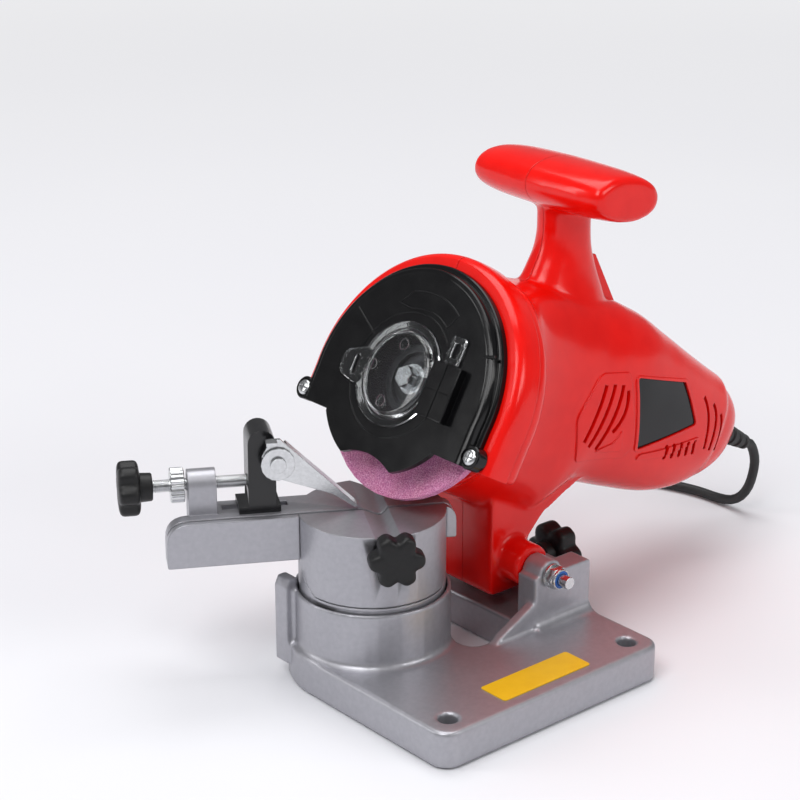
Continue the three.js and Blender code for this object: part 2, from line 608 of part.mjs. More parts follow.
function makeStopScrew() {
  const place = [stop.y, stop.z];
  const end = -stopKnob.face + gap.over;
  const rodRight = -post.left + post.wall + post.bossLong / 2;
  node('stop_knob', cut(join(
    slabX(lobedShape(stopKnob.radius, 6, stopKnob.lobe), -stopKnob.left, -stopKnob.face).translate(0,
      ...place),
    rod('x', stopKnob.hub, -stopKnob.face - gap.over, -stopKnob.hubEnd, place)),
  rod('x', stop.screw + gap.seat, -stopKnob.face - gap.over, end + gap.reach, place, sides.small)),
    knobPlastic, table);
  node('stop_screw', rod('x', stop.screw, -stopKnob.face - gap.over + gap.seat, rodRight, place,
    sides.small), steel, table);
  node('stop_locknut', cut(
    slabX(lobedShape(lockNut.radius, 22, lockNut.lobe, 2), -lockNut.left, -lockNut.left + lockNut.long)
      .translate(0, ...place),
    rod('x', stop.screw + gap.seat, -gap.reach, 0, place, sides.small)), steel, table);
}
makeStopScrew();

function makeBracket() {
  const [left, right] = [-post.left, -post.left + post.width];
  const foot = drum.top + gap.seat;
  const arch = (grow, low) => {
    const radius = post.width / 2 - grow;
    const shape = new THREE.Shape();
    shape.moveTo(left + grow, low);
    shape.lineTo(right - grow, low);
    shape.absarc((left + right) / 2, post.top - post.width / 2, radius, 0, Math.PI);
    return shape;
  };
  const place = [stop.y, stop.z];
  const hole = [-pawl.x, pawl.z];
  node('stop_bracket', cut(join(
    cut(slabY(arch(0, foot), post.front, post.back, 6),
      slabY(arch(post.wall, foot - gap.over), post.front + post.wall, post.back + gap.over, 6)),
    rod('y', post.ear, post.front, post.front + post.earThick, hole),
    block(left - post.footOut, right + gap.over, post.front, post.back, foot, foot + post.footHigh),
    block(left, right, stop.y - post.tongueHalf, stop.y + post.tongueHalf, drum.top - post.tongueDeep,
      foot + gap.over),
    rod('x', post.boss, left, left + post.wall + post.bossLong, place)),
  rod('y', pawl.pin + gap.seat, 0, gap.reach, hole, sides.small),
  rod('x', stop.screw + gap.seat, left - gap.over, left + post.wall + post.bossLong - gap.seat * 2, place,
    sides.small)),
  blackPlastic, table);
}
makeBracket();

function makePawl() {
  const [back, front] = [-pawl.front, -pawl.front - pawl.thick];
  const place = [-pawl.x, pawl.z];
  const slope = Math.atan2(pawl.topZ - pawl.tipZ, pawl.topX - pawl.tipX);
  const long = Math.hypot(pawl.topZ - pawl.tipZ, pawl.topX - pawl.tipX);
  const web = new THREE.Shape();
  web.moveTo(-pawl.topX, pawl.topZ);
  web.lineTo(-pawl.topX - pawl.curl, pawl.topZ);
  web.lineTo(-pawl.x - pawl.hub, pawl.z + pawl.curl);
  web.absarc(-pawl.x, pawl.z, pawl.hub, Math.PI, Math.PI * 1.45);
  web.lineTo(-pawl.kneeX, pawl.kneeZ);
  web.lineTo(-pawl.tipX - pawl.tipLow, pawl.tipZ);
  web.lineTo(-pawl.tipX, pawl.tipZ);
  web.closePath();
  const flangeBar = block(pawl.flangeStart, long, front, back + pawl.flange, -pawl.thick, 0).rotateY(slope);
  flangeBar.translate(-pawl.topX, 0, pawl.topZ);
  const curlTab = block(-pawl.x - pawl.hub + pawl.thick, -pawl.topX - pawl.thick, front - pawl.curl, back,
    pawl.topZ - pawl.thick, pawl.topZ);
  node('stop_pawl', cut(join(slabY(web, front, back, 6), flangeBar, curlTab),
    rod('y', pawl.pin + gap.seat, -gap.reach, gap.reach, place, sides.small)), steel, table);
  const washerBack = front - gap.seat;
  const washerFront = washerBack - pawl.washerThick;
  const pinHead = washerFront - gap.seat;
  node('pawl_washer', washer('y', pawl.pin, pawl.washer, washerFront, washerBack, place), steel, table);
  node('pawl_pin', join(rod('y', pawl.pin, pinHead - pawl.pinHeadLong, post.front + post.earThick, place,
    sides.small),
    rod('y', pawl.pinHead, pinHead - pawl.pinHeadLong, pinHead, place)), steel, table);
}
makePawl();

// Grinding head: shapes of the guard and of the motor housing
function guardCorner(radius) {
  const start = Math.asin((guard.drop - guard.straight) / radius);
  return [start, radius * Math.cos(start)];
}

function guardShape(radius, bottom) {
  const [start, half] = guardCorner(radius);
  const shape = new THREE.Shape();
  shape.moveTo(-half, -bottom);
  shape.lineTo(half, -bottom);
  shape.absarc(0, -guard.drop, radius, start, Math.PI - start);
  return shape;
}

function guardLoft(rows) {
  const count = sides.round;
  return loft(rows.map(([u, radius]) => {
    const [start, half] = guardCorner(radius);
    const points = [new THREE.Vector3(u, -half, -guard.bottom), new THREE.Vector3(u, half, -guard.bottom)];
    for (let k = 0; k <= count; k += 1) {
      const angle = start + (Math.PI - 2 * start) * k / count;
      points.push(new THREE.Vector3(u, radius * Math.cos(angle), -guard.drop + radius * Math.sin(angle)));
    }
    return points;
  }));
}

// Rows of the guard: share of the depth, then share of the way to the full radius
const rimShares = [[0, 0], [0.1, 0.5], [0.34, 0.92], [0.62, 1], [1, 1]];
const shoulderShares = [[0, 1], [0.5, 1], [0.82, 0.975], [1, 0.9]];

function guardSolid() {
  const depthOf = guard.front + guard.step;
  const grown = guard.radius - guard.frontRadius;
  const rim = guardLoft(rimShares.map(([place, share]) =>
    [-guard.front + place * depthOf, guard.frontRadius + share * grown]));
  const shoulder = guardLoft(shoulderShares.map(([place, share]) =>
    [guard.step - gap.over * (1 - place) + place * (guard.back - guard.step),
      (guard.radius - guard.stepDeep) * share]));
  return join(rim, shoulder);
}

// Rows of the motor housing: place along it, half width, top and bottom as shares
const bodyShares = [
  [0.00, 1.62, 0.80, 1.00], [0.035, 1.40, 0.80, 1.00], [0.08, 1.17, 0.82, 1.00], [0.14, 1.05, 0.86, 1.00],
  [0.24, 0.97, 0.92, 1.00], [0.33, 0.95, 0.97, 1.00], [0.375, 0.94, 0.99, 0.80], [0.415, 0.93, 1.00, 0.57],
  [0.48, 0.92, 1.00, 0.41], [0.60, 0.87, 0.96, 0.32], [0.73, 0.80, 0.91, 0.22],
  [0.82, 0.73, 0.88, 0.08], [0.875, 0.68, 0.865, -0.07],
];
const tailShares = [
  [0.86, 0.65, 0.845, -0.06], [0.89, 0.63, 0.83, -0.12], [0.93, 0.57, 0.79, -0.26],
  [0.97, 0.44, 0.72, -0.44], [1.00, 0.26, 0.62, -0.66],
];
const squareShare = 2.5;

function bodyLoft(table_, inset, count = sides.round) {
  const long = body.end - body.start;
  return solidOf(loft(table_.map(([place, width, top, bottom], i) => {
    const end = i === 0 ? inset : (i === table_.length - 1 ? -inset : 0);
    return ring(body.start + place * long + end, body.half * width - inset, body.top * top - inset,
      -body.bottom * bottom + inset, squareShare, count);
  }))).transform(head.matrix.elements);
}

// Neck rows: height, middle, half length and half width; bar rows: place across and two half sizes
const neckShares = [
  [0.00, 0.955, 2.15, 1.85], [0.18, 0.965, 1.90, 1.55], [0.33, 0.975, 1.60, 1.32], [0.48, 0.985, 1.30, 1.15],
  [0.62, 0.995, 1.08, 1.04], [0.78, 1.00, 1.00, 1.00], [1.00, 1.00, 1.00, 1.00],
];
const barShares = [
  [-1.00, 0.78, 0.74], [-0.98, 0.84, 0.82], [-0.4, 0.98, 0.98], [0, 1.00, 1.00], [0.4, 0.98, 0.98],
  [0.98, 0.84, 0.82], [1.00, 0.78, 0.74],
];

function neckLoft(inset, kept = () => true) {
  return loft(neckShares.filter(kept).map(([place, middle, half, wide]) => {
    const z = neck.bottom + place * (neck.top - neck.bottom);
    const long = neck.half * half - inset;
    return ring(z, neck.wide * wide - inset, long, -long, neck.squareShare,
      inset > 0 ? sides.medium : sides.round)
      .map(p => new THREE.Vector3(neck.x * middle + p.z, p.y, p.x));
  }));
}

function barLoft(inset, kept = () => true) {
  return loft(barShares.filter(kept).map(([place, long, high], i, rows) => {
    const end = i === 0 ? inset : (i === rows.length - 1 ? -inset : 0);
    const tall = bar.high * high - inset;
    return ring(place * (place < 0 ? bar.near : bar.far) + end, bar.long * long - inset, tall, -tall,
      bar.squareShare, inset > 0 ? sides.medium : sides.round)
      .map(p => new THREE.Vector3(p.y, p.x, p.z));
  })).rotateY(bar.slope).translate(bar.x, 0, bar.z);
}

// The arm's rear edge, x and z, and where it is lost in the motor housing
const armPoints = [[78.6, 47.8], [89, 59], [104, 66]];
const armRoots = [[118, 72], [110, 95], [60, 110], [56, 80]];

function armShape(inset) {
  const [left, right, low] = [arm.left + inset, arm.right - inset, arm.bottom + inset];
  const corner = inset > 0 ? 0 : arm.wall;
  return rounded([[left, low, corner], [right, low, corner], ...armPoints.map(([x, z]) => [x - inset, z,
    arm.wall]),
    ...armRoots]);
}

// Cuts and ribs of the housing, in the head's frame unless said otherwise
const headSolid = item => solidOf(item).transform(head.matrix.elements);
const axisV = [0, motor.v];

const webTop = motor.v + motor.yoke + rib.wide;

function bearingSeat(spec, place) {
  return rod('x', spec.outer + gap.seat, spec.start - gap.seat, spec.start + spec.long + gap.seat, place);
}

function webAt(spec) {
  return block(spec.start - rib.thick, spec.start + spec.long + rib.thick, -gap.reach, gap.reach,
    -body.bottom, webTop);
}

// Screw places: u and v in the head's frame
const screwPlaces = [[24, 50], [148, 46], [148, 6], [64.1, -36.4], [43, 89]];

function platePrism(grow, from, to) {
  const corners = plateCorners.map(([u, v]) => [u, v]);
  const middle = [0, 1].map(k => corners.reduce((sum, corner) => sum + corner[k], 0) / corners.length);
  const grown = corners.map(([u, v]) => {
    const long = Math.hypot(u - middle[0], v - middle[1]);
    return [u + (u - middle[0]) / long * grow * Math.SQRT2, v + (v - middle[1]) / long * grow * Math.SQRT2,
      plate.corner];
  });
  return headSolid(slabY(rounded(grown), from, to, 3));
}

// Curved slots of the louvre panel and straight ones elsewhere
function slotCut(from, to, wide, bow, side) {
  const [du, dv] = [to[0] - from[0], to[1] - from[1]];
  const long = Math.hypot(du, dv);
  const [nu, nv] = [-dv / long, du / long];
  const middle = grow => [(from[0] + to[0]) / 2 + nu * (bow + grow) * 2,
    (from[1] + to[1]) / 2 + nv * (bow + grow) * 2];
  const shape = new THREE.Shape();
  const half = wide / 2;
  shape.moveTo(from[0] - nu * half, from[1] - nv * half);
  shape.quadraticCurveTo(...middle(-half / 2), to[0] - nu * half, to[1] - nv * half);
  shape.lineTo(to[0] + nu * half, to[1] + nv * half);
  shape.quadraticCurveTo(...middle(half / 2), from[0] + nu * half, from[1] + nv * half);
  shape.closePath();
  const [near, far] = side < 0 ? [-gap.reach, -vent.depth] : [vent.depth, gap.reach];
  return headSolid(slabY(shape, near, far, bow === 0 ? 1 : 3));
}

function between(a, b, share) {
  return [a[0] + (b[0] - a[0]) * share, a[1] + (b[1] - a[1]) * share];
}

function ventCuts() {
  const cuts = [];
  for (const side of [-1, 1]) {
    for (let k = 0; k < vent.louvres; k += 1) {
      const share = (k + louvreShares.first) / (vent.louvres + louvreShares.edge);
      const top = between(louvreCorners[0], louvreCorners[1], share);
      const low = between(louvreCorners[3], louvreCorners[2], share);
      cuts.push(slotCut(between(top, low, louvreShares.top), between(top, low, louvreShares.low),
        vent.louvre, vent.bow, side));
    }
    for (let k = 0; k < vent.small; k += 1) {
      const middle = between(slotLine[0], slotLine[1], k / (vent.small - 1));
      cuts.push(slotCut([middle[0] - vent.smallHalf, middle[1] + vent.smallHalf],
        [middle[0] + vent.smallHalf, middle[1] - vent.smallHalf], vent.smallWide, 0, side));
    }
    for (let k = 0; k < vent.tail; k += 1) {
      const u = vent.tailStart + k * vent.tailStep;
      cuts.push(slotCut([u + vent.tailLean, vent.tailHigh - k * vent.tailDrop], [u, vent.tailLow],
        vent.tailWide,
        -vent.tailBow, side));
    }
  }
  return cuts;
}

function triggerShape(grow) {
  const [top, low] = [trigger.top + grow, trigger.bottom - grow];
  return rounded([[trigger.left - grow, top - trigger.slant], [trigger.topOut + grow, top, trigger.corner],
    [trigger.lowOut + grow, low + trigger.slant * 2, trigger.corner], [trigger.lowOut - trigger.slant, low,
      trigger.corner],
    [trigger.left - grow, low + trigger.rise]]);
}

// room for the trigger at rest, half pressed and pressed
function triggerRoom() {
  return [...Array(trigger.roomSteps + 1).keys()].map(step =>
    slabY(triggerShape(gap.seat), -trigger.half - gap.seat, trigger.half + gap.seat, 3)
      .translate(-trigger.pivotX, 0, -trigger.pivotZ).rotateY(-trigger.travel * step / trigger.roomSteps)
      .translate(trigger.pivotX, 0, trigger.pivotZ));
}

function makeHousing() {
  const barrelEnd = ear.inner - gap.seat;
  const pin = [hinge.x, hinge.z];
  const heel = block(arm.heelLeft, arm.right, -arm.heelHalf, arm.heelHalf, arm.bottom - arm.heelLow,
    arm.bottom + arm.wall);
  const labelRim = common(cut(platePrism(plate.frame, -gap.reach, 0), platePrism(0, -gap.reach, gap.reach)),
    bodyLoft(bodyShares, -plate.rise));
  const outer = join(bodyLoft(bodyShares, 0), headSolid(guardSolid()), bodyLoft(tailShares, 0),
    slabY(armShape(0), -arm.half, arm.half, 3), rod('y', arm.barrel, -barrelEnd, barrelEnd, pin),
    neckLoft(0), barLoft(0), heel, labelRim);

  const everyOther = (row, i, rows) => i % 2 === 0 || i === rows.length - 1;
  const inside = join(bodyLoft(bodyShares.filter(everyOther), body.wall, sides.medium),
    bodyLoft(tailShares.filter(everyOther), body.wall, sides.medium), neckLoft(neck.wall, everyOther),
    barLoft(neck.wall, everyOther), slabY(armShape(arm.wall), -arm.half + arm.wall, arm.half - arm.wall, 3));
  const webs = headSolid(join(
    cut(webAt(bearing.rear), bearingSeat(bearing.rear, [0, 0]), bearingSeat(bearing.motorFront, axisV),
      rod('x', shaft.radius + rib.free, 0, gap.reach), rod('x', shaft.armature + rib.free, 0, gap.reach,
        axisV)),
    cut(webAt(bearing.motorRear), bearingSeat(bearing.motorRear, axisV),
      rod('x', shaft.armature + rib.free, 0, gap.reach, axisV)),
    ...rib.stator.map(u => cut(block(u, u + rib.wide, -gap.reach, gap.reach, -body.bottom, webTop),
      rod('x', motor.yoke + gap.seat, 0, gap.reach, axisV, sides.round))),
    cut(block(motor.brushU - motor.brush - rib.thick, motor.brushU + motor.brush + rib.thick, -gap.reach,
      gap.reach,
      -body.bottom, webTop), rod('x', motor.commutator + rib.free * 2, 0, gap.reach, axisV),
    rod('y', motor.brush + gap.seat, -gap.reach, gap.reach, [motor.brushU, motor.v])),
    cut(rod('x', bearing.front.outer + rib.thick, 0, bearing.front.start + bearing.front.long + rib.thick),
      bearingSeat(bearing.front, [0, 0]), rod('x', shaft.front + rib.free, 0, gap.reach))));
  const posts = headSolid(join(...screwPlaces.map(place => rod('y', boss.radius, -gap.reach, gap.reach,
    place))));
  const shelf = block(module.left, module.right, -gap.reach, gap.reach,
    module.bottom - gap.seat - module.shelf,
    module.bottom - gap.seat);
  const hollow = cut(inside, webs, posts, shelf, rod('y', arm.tube, -arm.half, arm.half, pin));

  const chamberRadius = guard.radius - guard.chamberWall;
  const chamber = cut(join(
    slabX(guardShape(chamberRadius, guard.bottom + gap.over), -guard.front + guard.lip, guard.chamberBack,
      sides.round),
    slabX(guardShape(guard.frontRadius - guard.lipWide, guard.bottom + gap.over), -guard.front - gap.over,
      -guard.front + guard.lip + gap.over, sides.round)),
  ...[-1, 1].map(side => rod('x', cover.lugRadius, -guard.front, guard.chamberBack, [side * cover.lugY,
    -cover.lugV])));
  const screwHoles = headSolid(join(...screwPlaces.flatMap(place => [
    rod('y', boss.shank + gap.seat, -boss.deep - gap.seat, boss.nearDeep, place, sides.tiny),
    rod('y', boss.head + gap.seat, boss.nearDeep - boss.headLong - gap.seat, gap.reach, place,
      sides.small)])));
  const shell = cut(outer, hollow, headSolid(chamber), screwHoles,
    rod('y', hinge.bolt + gap.seat, -gap.reach, gap.reach, pin, sides.small),
    headSolid(rod('x', shaft.front, 0, bearing.front.start)), headSolid(bearingSeat(bearing.front, [0, 0])),
    headSolid(rod('x', boot.hole, boot.start + boot.collarLong + gap.seat, gap.reach, [0, boot.v])),
    headSolid(join(...[-1, 1].map(side => rod('x', cover.screw + gap.seat, -gap.reach,
      -cover.lugFront + cover.screwLong + gap.over, [side * cover.lugY, -cover.lugV], sides.tiny)))),
    cut(platePrism(gap.seat, -gap.reach, 0), bodyLoft(bodyShares, plate.sink + gap.seat)),
    ...triggerRoom(), ...ventCuts());
  node('housing_near', common(shell, block(-gap.reach, gap.reach, -gap.reach, -gap.seam, -gap.reach,
    gap.reach)), redPlastic);
  node('housing_far', common(shell, block(-gap.reach, gap.reach, gap.seam, gap.reach, -gap.reach,
    gap.reach)), redPlastic);

  node('label_plate', common(cut(platePrism(0, -gap.reach, 0), bodyLoft(bodyShares, plate.sink)),
    bodyLoft(bodyShares, plate.sink - plate.thick)), blackLabel);
  screwPlaces.forEach((place, i) => {
    const headStart = boss.nearDeep - boss.headLong;
    node(`housing_screw_${i + 1}`, join(rod('y', boss.shank, -boss.deep, headStart + gap.seat, place,
      sides.tiny),
      rod('y', boss.head, headStart, boss.nearDeep, place, sides.small)), steel, head);
  });
}
makeHousing();

// Wheel and what holds it on the spindle
function makeWheel() {
  const half = wheel.thick / 2;
  node('grinding_wheel', cut(rod('x', wheel.radius, -half, half, [0, 0], sides.fine),
    rod('x', wheel.bore, -gap.over, gap.over)), abrasive, head);
  const face = half + gap.seat;
  const bore = rod('x', flange.bore, -gap.reach, gap.reach, [0, 0], sides.small);
  node('flange_inner', cut(join(rod('x', flange.radius, face, face + flange.back),
    rod('x', flange.boss, -half, face + flange.back)), bore), steel, head);
  node('flange_outer', cut(rod('x', flange.radius, -face - flange.front, -face, [0, 0], sides.medium,
    flange.radius),
    bore, cut(rod('x', flange.boss + gap.over, -gap.reach, -face - flange.front + gap.over),
      rod('x', flange.boss - gap.over, -gap.reach, 0))), steel, head);
  const washerBack = -face - flange.front - gap.seat;
  const headBack = washerBack - hubBolt.washerThick - gap.seat;
  node('hub_bolt', join(rod('x', hubBolt.shank, headBack - gap.over, headBack + hubBolt.into, [0, 0],
    sides.small),
    hexRod('x', hubBolt.head, headBack - hubBolt.headLong, headBack)), steel, head);
  node('hub_washer', washer('x', hubBolt.shank, hubBolt.washer, washerBack - hubBolt.washerThick,
    washerBack), steel, head);
  node('spindle', cut(rod('x', shaft.radius, -face - flange.front + gap.seat * 2, shaft.rear, [0, 0],
    sides.medium),
    rod('x', hubBolt.shank + gap.seat, -gap.reach, headBack + hubBolt.into + gap.seat * 2, [0, 0],
      sides.small)), steel, head);
}
makeWheel();

// Spur gears with stub teeth
const pressureAngle = 20 * Math.PI / 180;

function gearShape(teeth) {
  const pitch = teeth * gearPair.unit / 2;
  const top = pitch + gearPair.unit * gearPair.topShare;
  const root = pitch - gearPair.unit * gearPair.rootShare;
  const thick = Math.PI * gearPair.unit / 4 - gearPair.play / 2;
  const lean = Math.tan(pressureAngle);
  const shape = new THREE.Shape();
  for (let k = 0; k < teeth; k += 1) {
    const middle = k / teeth * Math.PI * 2;
    const rootHalf = (thick + gearPair.unit * gearPair.rootShare * lean) / root;
    const topHalf = (thick - gearPair.unit * gearPair.topShare * lean) / top;
    for (const [radius, turn] of [[root, -rootHalf], [top, -topHalf], [top, topHalf], [root, rootHalf]]) {
      const [x, y] = [radius * Math.cos(middle + turn), radius * Math.sin(middle + turn)];
      if (k === 0 && turn === -rootHalf) shape.moveTo(x, y);
      else shape.lineTo(x, y);
    }
  }
  shape.closePath();
  return shape;
}

function makeDrive() {
  const { start, thick } = gearPair;
  const end = start + thick;
  const gearTurn = Math.PI / 2; // a tooth of the wheel points at the pinion
  const spin = new THREE.Matrix4().makeRotationX(gearTurn);
  node('spindle_gear', cut(slabX(gearShape(gearPair.teeth), start, end).applyMatrix4(spin),
    rod('x', shaft.radius + gap.seat, 0, gap.reach, [0, 0], sides.small)), steel, head);
  const half = new THREE.Matrix4().makeRotationX(-Math.PI / 2 + Math.PI / gearPair.pinionTeeth);
  node('motor_pinion', cut(
    slabX(gearShape(gearPair.pinionTeeth), shaft.pinionStart,
      end + gap.seat).applyMatrix4(half).translate(0, 0, motor.v),
    rod('x', shaft.pinionBore, 0, gap.reach, axisV, sides.small)), steel, head);
  const ringAt = (name, spec, place, inner) => node(name, cut(
    rod('x', spec.outer, spec.start, spec.start + spec.long, place, sides.medium),
    rod('x', inner + gap.seat, 0, gap.reach, place, sides.small)), steel, head);
  ringAt('bearing_spindle_front', bearing.front, [0, 0], shaft.radius);
  ringAt('bearing_spindle_rear', bearing.rear, [0, 0], shaft.radius);
  ringAt('bearing_motor_front', bearing.motorFront, axisV, shaft.armature);
  ringAt('bearing_motor_rear', bearing.motorRear, axisV, shaft.armature);
}
makeDrive();

function makeMotor() {
  const { stackStart, stackEnd, commutatorStart } = motor;
  const pinionSeat = shaft.pinionBore - gap.seat;
  node('armature', join(
    rod('x', pinionSeat, shaft.pinionStart, bearing.motorFront.start, axisV, sides.small),
    rod('x', shaft.armature, gearPair.start + gearPair.thick + gap.seat * 2, shaft.armatureRear, axisV,
      sides.small),
    rod('x', motor.stack, stackStart, stackEnd, axisV),
    rod('x', motor.winding, stackStart - motor.windingLong, stackEnd + motor.windingLong, axisV, sides.small),
    rod('x', motor.commutator, commutatorStart, commutatorStart + motor.commutatorLong, axisV, sides.medium)),
  copper, head);

  const blades = [];
  for (let k = 0; k < motor.blades; k += 1) {
    blades.push(block(motor.fanStart, motor.fanStart + motor.fanLong, -motor.blade, motor.blade,
      motor.fanHub - gap.over, motor.fan).rotateX(k / motor.blades * Math.PI * 2).translate(0, 0, motor.v));
  }
  node('motor_fan', cut(join(rod('x', motor.fanHub, motor.fanStart, motor.fanStart + motor.fanLong, axisV),
    rod('x', motor.fan, motor.fanStart + motor.fanLong - gap.over, motor.fanStart + motor.fanLong, axisV),
      ...blades),
  rod('x', shaft.armature + gap.seat, 0, gap.reach, axisV, sides.small)), blackPlastic, head);

  const coilShape = (grow, side) => {
    const shape = new THREE.Shape();
    const inner = motor.stack + motor.airGap + motor.coilIn - grow;
    const outer = inner + motor.coilThick + grow * 2;
    const half = motor.coilSpread + grow / inner;
    const middle = side * Math.PI / 2;
    shape.absarc(0, 0, inner, middle - half, middle + half);
    shape.absarc(0, 0, outer, middle + half, middle - half, true);
    shape.closePath();
    return shape;
  };
  const stator = cut(rod('x', motor.yoke, stackStart, stackEnd, axisV, sides.round),
    rod('x', motor.stack + motor.airGap, 0, gap.reach, axisV, sides.medium),
    ...[-1, 1].map(side => slabX(coilShape(gap.seat, side), 0, gap.reach).translate(0, 0, motor.v)));
  node('stator', stator, laminations, head);
  for (const [name, side] of [['field_coil_lower', -1], ['field_coil_upper', 1]]) {
    node(name, slabX(coilShape(0, side), stackStart - motor.coilOut, stackEnd + motor.coilOut).translate(0,
      0, motor.v),
      copper, head);
  }
  const near = motor.commutator + gap.seat;
  for (const [name, side] of [['brush_holder_near', -1], ['brush_holder_far', 1]]) {
    const ends = [side * near, side * (near + motor.brushLong)].sort((a, b) => a - b);
    node(name, rod('y', motor.brush, ...ends, [motor.brushU, motor.v], sides.small), brass, head);
  }
}
makeMotor();

function makeTrigger() {
  node('trigger', slabY(triggerShape(0), -trigger.half, trigger.half, 3), redPlastic);
  node('switch_module', block(module.left, module.right, -module.half, module.half, module.bottom,
    module.top), blackPlastic);
}
makeTrigger();

// Wheel cover with its window, latch block, clip and screws
function makeCover() {
  const inside = cover.wall;
  const coverRows = [[-cover.front, cover.face], [-cover.front + cover.round, cover.face + cover.round],
    [-cover.front + cover.faceThick, cover.rim], [-guard.front - gap.over, cover.radius],
      [-guard.front - gap.seat, cover.radius]];
  const skin = guardLoft(coverRows);
  const inner = slabX(guardShape(cover.radius - inside, guard.bottom + gap.over),
    -cover.front + cover.faceThick,
    gap.over, sides.round);
  const shape = new THREE.Shape();
  const turn = Math.asin((apron.top + gap.over) / apron.radius);
  const lobeTurn = Math.asin(apron.lobeLow / apron.radius);
  shape.moveTo(-apron.side, -apron.top);
  shape.lineTo(apron.side, -apron.top);
  shape.absarc(0, 0, apron.radius, -turn, -lobeTurn, true);
  shape.quadraticCurveTo(apron.lobe / 2, -apron.middleLow, 0, -apron.middleLow);
  shape.quadraticCurveTo(-apron.lobe / 2, -apron.middleLow, -apron.lobe, -apron.lobeLow);
  shape.absarc(0, 0, apron.radius, -Math.PI + lobeTurn, -Math.PI + turn, true);
  shape.closePath();
  const apronPiece = slabX(shape, -cover.front, -cover.front + cover.faceThick, 6);
  const lugs = [-1, 1].map(side => rod('x', cover.lugRadius, -cover.lugFront, -guard.front - gap.seat,
    [side * cover.lugY, -cover.lugV], sides.medium));
  const holes = [-1, 1].flatMap(side => [
    rod('x', cover.screw, -gap.reach, 0, [side * cover.lugY, -cover.lugV], sides.tiny),
    rod('x', cover.screwHead + gap.seat, -gap.reach, -cover.lugFront + cover.screwSink, [side * cover.lugY,
      -cover.lugV], sides.small)]);
  const { left, right, low, high } = latchBlock;
  const blockFront = -cover.front - latchBlock.thick;
  const [midY, midV] = [-(left + right) / 2, (high - low) / 2];
  const lines = [
    block(blockFront - gap.over, blockFront + latchBlock.lineDeep, midY - latchBlock.lineHalf,
      midY + latchBlock.lineHalf, -gap.reach, gap.reach),
    block(blockFront - gap.over, blockFront + latchBlock.lineDeep, -gap.reach, gap.reach,
      midV - latchBlock.lineHalf, midV + latchBlock.lineHalf)];
  const latch = cut(block(blockFront, -cover.front + gap.over, -right, -left, -low, high), ...lines);
  const hole = cut(rod('x', eye.hole, -gap.reach, 0, [eye.y, eye.v], sides.round),
    block(-gap.reach, 0, -right, -left, -low, high));
  node('wheel_cover', join(cut(join(cut(skin, inner), apronPiece, ...lugs), hole, ...holes), latch),
    blackPlastic, head);
  const headFront = -cover.lugFront + cover.screwSink - gap.seat;
  for (const [name, side] of [['cover_screw_near', -1], ['cover_screw_far', 1]]) {
    const place = [side * cover.lugY, -cover.lugV];
    node(name, join(rod('x', cover.screw - gap.seat, headFront - gap.seat,
      headFront + cover.screwLong - gap.over, place, sides.tiny),
      rod('x', cover.screwHead, headFront - cover.screwHeadLong, headFront, place, sides.small)), steel,
        head);
  }

  const rimFront = -cover.front - gap.seat - eye.rimThick;
  const domeFront = -cover.front - eye.domeOut;
  const spigot = eye.hole - gap.seat;
  const pane = turned('x', [[0, domeFront], [eye.dome - eye.wall, domeFront], [eye.dome, rimFront],
    [eye.rim, rimFront],
    [eye.rim, -cover.front - gap.seat], [spigot, -cover.front - gap.seat], [spigot,
      -cover.front + eye.spigot],
    [spigot - eye.wall, -cover.front + eye.spigot], [spigot - eye.wall * 2, domeFront + eye.wall], [0,
      domeFront + eye.wall]],
  [eye.y, eye.v], sides.round);
  const tabShape = rounded([[eye.y + eye.rim - gap.over, eye.v - eye.tab - eye.tabLow / 2],
    [eye.y + eye.rim - gap.over, eye.v + eye.tab - eye.tabLow / 2],
    [eye.y + eye.tabOut + eye.tabTip, eye.v - eye.tabLow + eye.tabTip, eye.tabTip],
    [eye.y + eye.tabOut + eye.tabTip, eye.v - eye.tabLow - eye.tabTip, eye.tabTip]]);
  node('cover_window', cut(join(pane, slabX(tabShape, rimFront, -cover.front - gap.seat, 4)),
    block(-gap.reach, 0, -right - gap.seat, -left + gap.seat, -low - gap.seat, high + gap.seat)), clear,
      head);
  const clipFront = -cover.front - gap.seat - clip.thick;
  node('window_clip', block(clipFront, -cover.front - gap.seat, -clip.y - clip.wide / 2,
    -clip.y + clip.wide / 2,
    clip.v, clip.v + clip.high), clear, head);
}
makeCover();

// Mains lead: strain relief, free run, coil and plug
function makeBoot() {
  const axis = [0, boot.v];
  const outside = boot.start + boot.collarLong;
  const profile = [[0, boot.start], [boot.collar, boot.start], [boot.collar, outside], [boot.root, outside],
    [boot.root, body.end + gap.seat]];
  const long = boot.tip - body.end - gap.seat;
  for (let k = 0; k < boot.rings; k += 1) {
    const radiusAt = share => boot.root + (boot.end - boot.root) * share;
    const [a, b] = grooveShares.map(share => (k + share) / boot.rings);
    profile.push([radiusAt(a), body.end + gap.seat + long * a], [radiusAt(a) - boot.groove,
      body.end + gap.seat + long * a],
      [radiusAt(b) - boot.groove, body.end + gap.seat + long * b], [radiusAt(b),
        body.end + gap.seat + long * b]);
  }
  profile.push([boot.end, boot.tip], [0, boot.tip]);
  node('strain_relief', turned('x', profile, axis, sides.small), rubber, head);
}
makeBoot();

